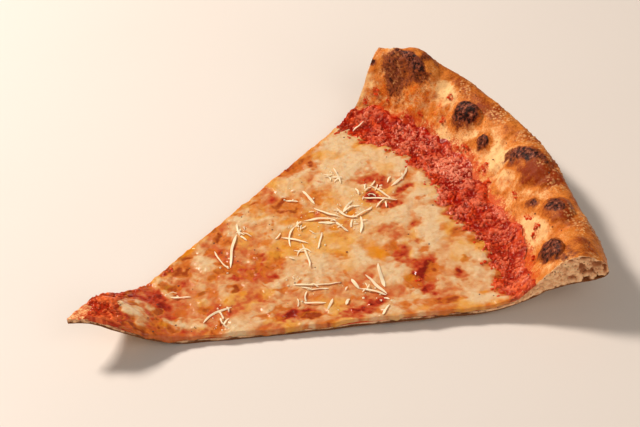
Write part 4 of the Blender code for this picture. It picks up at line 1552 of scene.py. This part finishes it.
light_toast = add("MapRange", {"Value": browner, "From Min": 0.1, "From Max": 0.75, "To Max": 0.9}, **STEP)
deep_toast = add("MapRange", {"Value": browner, "From Min": 0.65, "From Max": 1.25}, **STEP)
milk = add("Mix", {"Factor": light_toast, "A": milk, "B": paint("#d0701f")}, **COLOUR)
milk = add("Mix", {"Factor": deep_toast, "A": milk, "B": paint("#9c3c0c")}, **COLOUR)
richer = add("Attribute", give="Fac", attribute_name="gold")
fat = add("MapRange", {"Value": thinned, "From Min": 0.75, "From Max": 0.35, "To Max": 0.7}, **STEP)
fat = add("Math", {0: fat, 1: richer}, operation="MULTIPLY")
milk = add("Mix", {"Factor": fat, "A": milk, "B": paint("#e4a034")}, **COLOUR)
golden = add("Math", {0: pooled, 1: 0.9}, operation="MULTIPLY")
milk = add("Mix", {"Factor": golden, "A": milk, "B": paint("#e08c12")}, **COLOUR)
wetness = add("MapRange", {"Value": thinned, "From Min": 0.5, "From Max": 0.9}, **STEP)
wetness = add("Math", {0: light_toast, 1: wetness}, operation="MAXIMUM")
wetness = add("Math", {0: wetness, 1: pooled}, operation="MAXIMUM")
shine = add("MapRange", {"Value": wetness, "To Min": 0.17, "To Max": 0.08})
relief = add("Bump", {"Height": curd, "Strength": 0.6, "Distance": 0.8 * MM})
relief = add("Bump", {"Height": fine, "Strength": 0.35, "Distance": 0.3 * MM, "Normal": relief})
surface = add(
    "BsdfPrincipled",
    {
        "Base Color": milk,
        "Roughness": shine,
        "IOR": 1.4,
        "Normal": relief,
        "Subsurface Weight": 0.5,
        "Subsurface Radius": (1.0, 0.6, 0.35),
        "Subsurface Scale": 2.0 * MM,
    },
)
add("OutputMaterial", {"Surface": surface})
cheese = make_piece("melted_cheese", cheese_grids, cheese_masks, melted)
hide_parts("cheese")

# %% [markdown]
# ## Grated cheese
#
# A dry, hard cheese was grated over the slice after baking. A fine grater cuts it into flat
# strips about a millimetre wide and a quarter as thick, which curl, fork and break into crumbs.
# They lie loosely, so their ends stand clear of the melted cheese and throw small shadows. Each
# strip is a start, a length, a heading that turns steadily along it, and a width.

# %% Where the strips lie
STRIPS = (
    # x, y, length, heading in degrees, turn in degrees, width
    (-66.0, 6.0, 8.4, -27.0, 0.0, 0.9),
    (-61.0, -14.4, 15.0, 32.0, -37.0, 1.1),
    (-52.6, -11.0, 6.0, -85.0, -28.0, 1.0),
    (-53.8, -17.0, 5.0, -112.0, 50.0, 0.8),
    (-37.3, 22.2, 12.6, -108.0, 41.0, 1.0),
    (-36.0, 10.0, 20.5, 52.0, 2.0, 1.9),
    (-23.4, 25.8, 8.0, 84.0, -28.0, 1.0),
    (-23.2, 25.6, 4.0, -70.0, 0.0, 1.0),
    (-18.4, -13.4, 20.0, -26.0, 8.0, 1.4),
    (-14.7, -18.4, 9.0, -22.0, 0.0, 1.1),
    (-15.3, -19.7, 6.0, -136.0, 30.0, 1.1),
    (-19.5, -24.2, 9.5, -50.0, 32.0, 1.1),
    (-8.4, -29.0, 7.0, -135.0, 0.0, 1.5),
    (-5.3, -34.7, 4.0, 39.0, 0.0, 1.4),
    (-8.4, 16.0, 12.6, -43.0, -10.0, 1.1),
    (0.0, 19.0, 13.3, -146.0, 52.0, 1.0),
    (-2.8, 7.2, 15.4, -100.0, -18.0, 1.5),
    (-8.0, 2.0, 9.0, 62.0, -160.0, 0.9),
    (5.0, 36.8, 5.8, -41.0, 0.0, 1.0),
    (14.7, 38.6, 10.4, -88.0, 10.0, 1.7),
    (34.0, 44.9, 11.0, -105.0, -6.0, 1.0),
    (28.6, 38.0, 5.0, 60.0, 120.0, 0.8),
    (31.4, 41.4, 4.4, 200.0, -110.0, 0.8),
    (29.6, 36.4, 4.5, 30.0, -60.0, 0.8),
    (35.3, 20.8, 15.3, -36.0, -6.0, 1.2),
    (42.5, 26.0, 12.3, -73.0, 3.0, 1.2),
    (36.9, 12.0, 7.8, 34.0, -14.0, 1.1),
    (41.0, 10.2, 3.8, 66.0, 0.0, 0.9),
    (38.2, 21.8, 4.0, -20.0, -60.0, 0.9),
    (50.0, 21.1, 15.3, 18.0, 27.0, 1.4),
    (57.0, 22.6, 4.0, 66.0, 0.0, 1.0),
    (5.0, 20.5, 14.0, -18.0, -22.0, 1.4),
    (13.4, 26.0, 13.6, -73.0, 28.0, 1.3),
    (10.0, 16.0, 7.6, -25.0, 0.0, 1.7),
    (21.9, 20.5, 12.0, -100.0, 72.0, 1.3),
    (25.0, 11.6, 11.0, -14.0, 50.0, 1.4),
    (30.0, 21.0, 7.6, -150.0, 6.0, 1.2),
    (29.4, 18.0, 7.2, -172.0, 6.0, 1.1),
    (28.0, 10.5, 11.0, -103.0, -24.0, 1.6),
    (16.9, 12.4, 7.7, -92.0, 34.0, 1.6),
    (23.8, 10.5, 5.4, -123.0, 0.0, 1.3),
    (8.0, 9.3, 10.4, -124.0, -5.0, 1.5),
    (35.6, 28.0, 4.6, -98.0, 0.0, 1.2),
    (0.0, 18.6, 4.2, 19.0, 0.0, 1.1),
    (55.6, 64.6, 7.4, 22.0, -12.0, 0.9),
    (4.4, -22.5, 6.6, -92.0, 0.0, 2.0),
    (4.6, -28.6, 12.0, -58.0, 16.0, 1.3),
    (10.9, -23.0, 14.8, -82.0, -2.0, 2.2),
    (18.8, -20.0, 14.2, -113.0, 2.0, 1.9),
    (9.4, -45.0, 6.8, -139.0, 0.0, 1.4),
)
print("strips:", len(STRIPS))


# %% Bending a strip over the surface
STRIP_STEP = 0.7
STRIP_THICKNESS = 0.26
HALF_WIDTH = 0.38  # from a strip's middle to its edge, as a share of its listed width
LEAST_LIFT = 0.25  # the least height of a strip's middle over what it lies on


def top_height(x, y):
    """Height of the food's top at points in the frame."""
    across, along = surface_places(x, y)
    across = np.clip(across, -1, 1)
    cheesy = cheese_height(across, along, cheese_looks(x, y))
    bready = dough_top(across, along)
    sauced = along < read_smoothly(SAUCE_END, across)
    saucy = np.where(sauced, bready + sauce_height(across, along)[0], bready)
    return np.where(along < cheese_last(across), cheesy, saucy)


def strip_ring(seed, strip):
    """The four corners of a strip at each station along it."""
    x, y, length, heading, turn, width = strip
    steps = max(4, int(length / STRIP_STEP))
    share = np.linspace(0, 1, steps + 1)
    angle = np.radians(heading + turn * share + 9 * soft_noise(seed, 0.35, share))
    middle_x = x + np.concatenate([[0], np.cumsum(np.cos(angle[:-1]))]) * length / steps
    middle_y = y + np.concatenate([[0], np.cumsum(np.sin(angle[:-1]))]) * length / steps
    lift = LEAST_LIFT + (0.1 + 0.6 * float(hashed(seed, np.array(1)))) * np.sin(np.pi * share) ** 2
    lift = lift + (0.7 * float(hashed(seed, np.array(2)))) * np.abs(share - float(hashed(seed, np.array(3))))
    ground = top_height(middle_x, middle_y)
    ground = np.convolve(np.pad(ground, 2, mode="edge"), np.ones(5) / 5, mode="valid")
    taper = np.clip(np.minimum(share, 1 - share) * 5 + 0.25, 0, 1)
    half = HALF_WIDTH * width * taper * (0.85 + 0.3 * soft_noise(seed + 1, 0.3, share))
    roll = 0.5 * soft_noise(seed + 2, 0.5, share)
    across_x, across_y = -np.sin(angle) * np.cos(roll), np.cos(angle) * np.cos(roll)
    side = np.stack([across_x, across_y, np.sin(roll)], -1) * half[:, None]
    over = np.stack([np.sin(angle) * np.sin(roll), -np.cos(angle) * np.sin(roll), np.cos(roll)], -1)
    over = over * (STRIP_THICKNESS / 2 * np.sqrt(taper))[:, None]
    middle = np.stack([middle_x, middle_y, ground + lift], -1)
    corners = (side + over, over - side, -over - side, side - over)
    return np.stack([middle + corner for corner in corners], axis=1)


FRAGMENTS = 46  # short broken pieces, each near some strip's start
FRAGMENT_SPREAD = 4.5
FRAGMENT_SIDE = 0.9  # how near the cuts they lie
numbers = np.arange(FRAGMENTS)
hosts = (hashed(85, numbers) * len(STRIPS)).astype(int)
fragments = [
    (
        STRIPS[host][0] + 2 * FRAGMENT_SPREAD * hashed(86, number) - FRAGMENT_SPREAD,
        STRIPS[host][1] + 2 * FRAGMENT_SPREAD * hashed(87, number) - FRAGMENT_SPREAD,
        1.6 + 3.4 * hashed(88, number),
        360 * hashed(89, number),
        80 * hashed(90, number) - 40,
        0.6 + 0.5 * hashed(94, number),
    )
    for number, host in zip(numbers, hosts)
]
inside = [abs(surface_places(fragment[0], fragment[1])[0]) < FRAGMENT_SIDE for fragment in fragments]
fragments = list(itertools.compress(fragments, inside))
rings = [strip_ring(1000 + 10 * i, strip) for i, strip in enumerate(list(STRIPS) + fragments)]
print("points on the strips:", sum(ring.shape[0] * ring.shape[1] for ring in rings))


# %% Crumbs among the strips
CRUMB_CORNERS = 6
CRUMB_LOOPS = ((-0.4, 0.02), (-0.25, 0.8), (0.05, 1.0), (0.35, 0.7), (0.5, 0.02))  # height, reach


def lumpy_crumb(seed, x, y, z, size):
    """A small closed ring grid for a crumb: three uneven loops and two tips."""
    turns = np.linspace(0, 2 * np.pi, CRUMB_CORNERS, endpoint=False)
    corners = np.arange(CRUMB_CORNERS)
    loops = []
    for level, (height, reach) in enumerate(CRUMB_LOOPS):
        uneven = 0.7 + 0.6 * hashed(seed, corners, np.full(CRUMB_CORNERS, level))
        reach = reach * uneven * size / 2
        loop_z = np.full(CRUMB_CORNERS, z + height * size)
        loops.append(np.stack([x + reach * np.cos(turns), y + reach * np.sin(turns), loop_z], -1))
    return np.stack(loops)


CRUMBS = 150
CRUMB_SPREAD = 4.0
CRUMB_SIDE = 0.95  # how near the cuts they lie
numbers = np.arange(CRUMBS)
hosts = (hashed(81, numbers) * len(rings)).astype(int)
crumb_x = np.empty(CRUMBS)
crumb_y = np.empty(CRUMBS)
for i, host in enumerate(hosts):
    spot = rings[host][int(hashed(82, np.array(i)) * len(rings[host])), 0]
    spread = CRUMB_SPREAD * (hashed(83, np.array([i, i + 900])) - 0.5) * 2
    crumb_x[i], crumb_y[i] = spot[0] + spread[0], spot[1] + spread[1]
crumb_size = 0.4 + 0.7 * hashed(84, numbers) ** 2
crumb_z = top_height(crumb_x, crumb_y)
kept = np.abs(surface_places(crumb_x, crumb_y)[0]) < CRUMB_SIDE
crumbs = [
    lumpy_crumb(1500 + i, crumb_x[i], crumb_y[i], crumb_z[i], crumb_size[i])
    for i in np.flatnonzero(kept)
]
print("crumbs kept:", len(crumbs))


# %% Closing strips and crumbs
def closed_ends(ring):
    """A ring grid with its first and last loops drawn together, so that the piece is closed."""
    first = np.repeat(ring[:1].mean(axis=1, keepdims=True), ring.shape[1], axis=1)
    last = np.repeat(ring[-1:].mean(axis=1, keepdims=True), ring.shape[1], axis=1)
    return np.concatenate([first, ring, last])


strip_grids = [(closed_ends(ring), True) for ring in rings]
crumb_grids = [(closed_ends(ring), True) for ring in crumbs]
print("grids:", len(strip_grids) + len(crumb_grids))

# %% [markdown]
# Aged grating cheese is dry and pale straw in colour, with a matt, slightly waxy cut face. It
# glows a little where it is thin.

# %% Aged grating cheese
grated, add = start_material("aged_hard_grating_cheese")
place = add("TexCoord", give="Object")
grain = add("TexNoise", {"Vector": place, "Scale": 1 / (0.8 * MM), "Detail": 3.0})
straw = add("Mix", {"Factor": grain, "A": paint("#ffe2ae"), "B": paint("#fff4da")}, **COLOUR)
relief = add("Bump", {"Height": grain, "Strength": 0.3, "Distance": 0.1 * MM})
surface = add(
    "BsdfPrincipled",
    {
        "Base Color": straw,
        "Roughness": 0.5,
        "IOR": 1.45,
        "Normal": relief,
        "Subsurface Weight": 0.15,
        "Subsurface Radius": (1.0, 0.7, 0.4),
        "Subsurface Scale": 0.8 * MM,
    },
)
add("OutputMaterial", {"Surface": surface})
make_piece("grated_cheese", strip_grids + crumb_grids, {}, grated)

# %% [markdown]
# ## Bits of tomato and scorched specks
#
# A spoonful of sauce never stops exactly at the rim: single bits of tomato stick to the bread
# and to the cheese. Specks of dried herb and burnt flour are half a millimetre to a millimetre
# across. Both are made as the crumbs were, but flatter and at other places.


# %% Tomato bits
def flat_bits(seed, x, y, wide, tall):
    """Closed grids for lumps of the given widths, mostly sunk into what they lie on."""
    ground = top_height(x, y)
    grids = []
    for i in range(len(x)):
        bit = lumpy_crumb(seed + i, x[i], y[i], 0.0, wide[i])
        bit[..., 2] = ground[i] + bit[..., 2] / wide[i] * tall[i]
        grids.append((closed_ends(bit), True))
    return grids


CHEESE_SPLASHES = (
    # x, y, radius along x, radius along y
    (-58.8, 21.6, 2.0, 1.2),
    (56.0, 56.0, 2.4, 1.2),
    (43.6, 31.0, 2.0, 1.2),
    (29.5, -36.5, 2.0, 1.2),
)
LUMPS_PER_AREA = 1.1  # tomato lumps on a splash, for each square millimetre of its box
spots_x, spots_y = [], []
for i, (degrees, inset, wide, deep, tilt, _) in enumerate(SPLASHES):
    many = int(1 + wide * deep * LUMPS_PER_AREA)
    turn = 2 * np.pi * hashed(2000 + i, np.arange(many))
    reach = 0.9 * np.sqrt(hashed(2050 + i, np.arange(many)))
    sideways, outward = wide * reach * np.cos(turn), deep * reach * np.sin(turn)
    middle = rim_radius(degrees / (SLICE_ANGLE / 2)) - inset
    x, y = plan_point((degrees + np.degrees(sideways / middle)) / (SLICE_ANGLE / 2), middle + outward)
    spots_x.extend(x + CENTRE_X)
    spots_y.extend(y + CENTRE_Y)
for i, (x, y, wide, deep) in enumerate(CHEESE_SPLASHES):
    many = int(1 + wide * deep * LUMPS_PER_AREA)
    turn = 2 * np.pi * hashed(2100 + i, np.arange(many))
    reach = 0.9 * np.sqrt(hashed(2150 + i, np.arange(many)))
    spots_x.extend(x + wide * reach * np.cos(turn))
    spots_y.extend(y + deep * reach * np.sin(turn))
BORDER_BITS = 110
BORDER_REACH = 6.0  # how far over the cheese the last bits lie
BORDER_SIDE = 0.97  # how near the cuts they lie
numbers = np.arange(BORDER_BITS)
bit_across = 2 * BORDER_SIDE * hashed(2151, numbers) - BORDER_SIDE
bit_along = cheese_last(bit_across) + 0.6 - BORDER_REACH * hashed(2152, numbers) ** 1.8
x, y = plan_point(bit_across, bit_along)
spots_x.extend(x + CENTRE_X)
spots_y.extend(y + CENTRE_Y)
size = hashed(2200, np.arange(len(spots_x)))
tomato_grids = flat_bits(2300, np.array(spots_x), np.array(spots_y), 0.8 + 1.0 * size, 0.6 + 0.5 * size)
# the bits get a lump height of 0.7, so they take mostly the lighter colour that lump tops get as painted
# highlight
bit_masks = {
    "lump": [np.full(grid.shape[:2], 0.7) for grid, _ in tomato_grids],
    "tint": [np.full(grid.shape[:2], 0.7) for grid, _ in tomato_grids],
}
make_piece("tomato_bits", tomato_grids, bit_masks, crushed_tomato)

# %% Scorched specks
SPECKS = 110
SPECK_SIDE = 0.95  # how near the cuts they lie
SPECK_REACH = (17.0, 222.0)  # from the first to the last, with most of them near the rim
SPECK_INSET = 7.0  # none lies on the rim's outer side
SPECK_HEIGHT = 0.35
numbers = np.arange(SPECKS)
speck_across = 2 * SPECK_SIDE * hashed(91, numbers) - SPECK_SIDE
from_last = (SPECK_REACH[1] - SPECK_REACH[0]) * hashed(92, numbers) ** 1.6
speck_along = np.minimum(SPECK_REACH[1] - from_last, rim_radius(speck_across) - SPECK_INSET)
speck_x, speck_y = plan_point(speck_across, speck_along)
speck_width = 0.45 + 0.55 * hashed(93, numbers) ** 2
speck_tall = np.full(SPECKS, SPECK_HEIGHT)
speck_grids = flat_bits(3000, speck_x + CENTRE_X, speck_y + CENTRE_Y, speck_width, speck_tall)
burnt_specks, add = start_material("scorched_flour_and_herb")
grain = add("TexNoise", {"Vector": add("TexCoord", give="Object"), "Scale": 1 / (0.5 * MM)})
speck_colour = add("Mix", {"Factor": grain, "A": paint("#38180c"), "B": paint("#7a3a18")}, **COLOUR)
surface = add("BsdfPrincipled", {"Base Color": speck_colour, "Roughness": 0.6, "IOR": 1.45})
add("OutputMaterial", {"Surface": surface})
make_piece("scorched_specks", speck_grids, {}, burnt_specks)

# %% [markdown]
# ## How much the dressed slice has grown

# %% The growth over the solids' box
dressed_low, dressed_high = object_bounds()
growth = (dressed_high - dressed_low) - (cad_high - cad_low)
print("growth in mm:", [round(side / MM, 2) for side in growth])
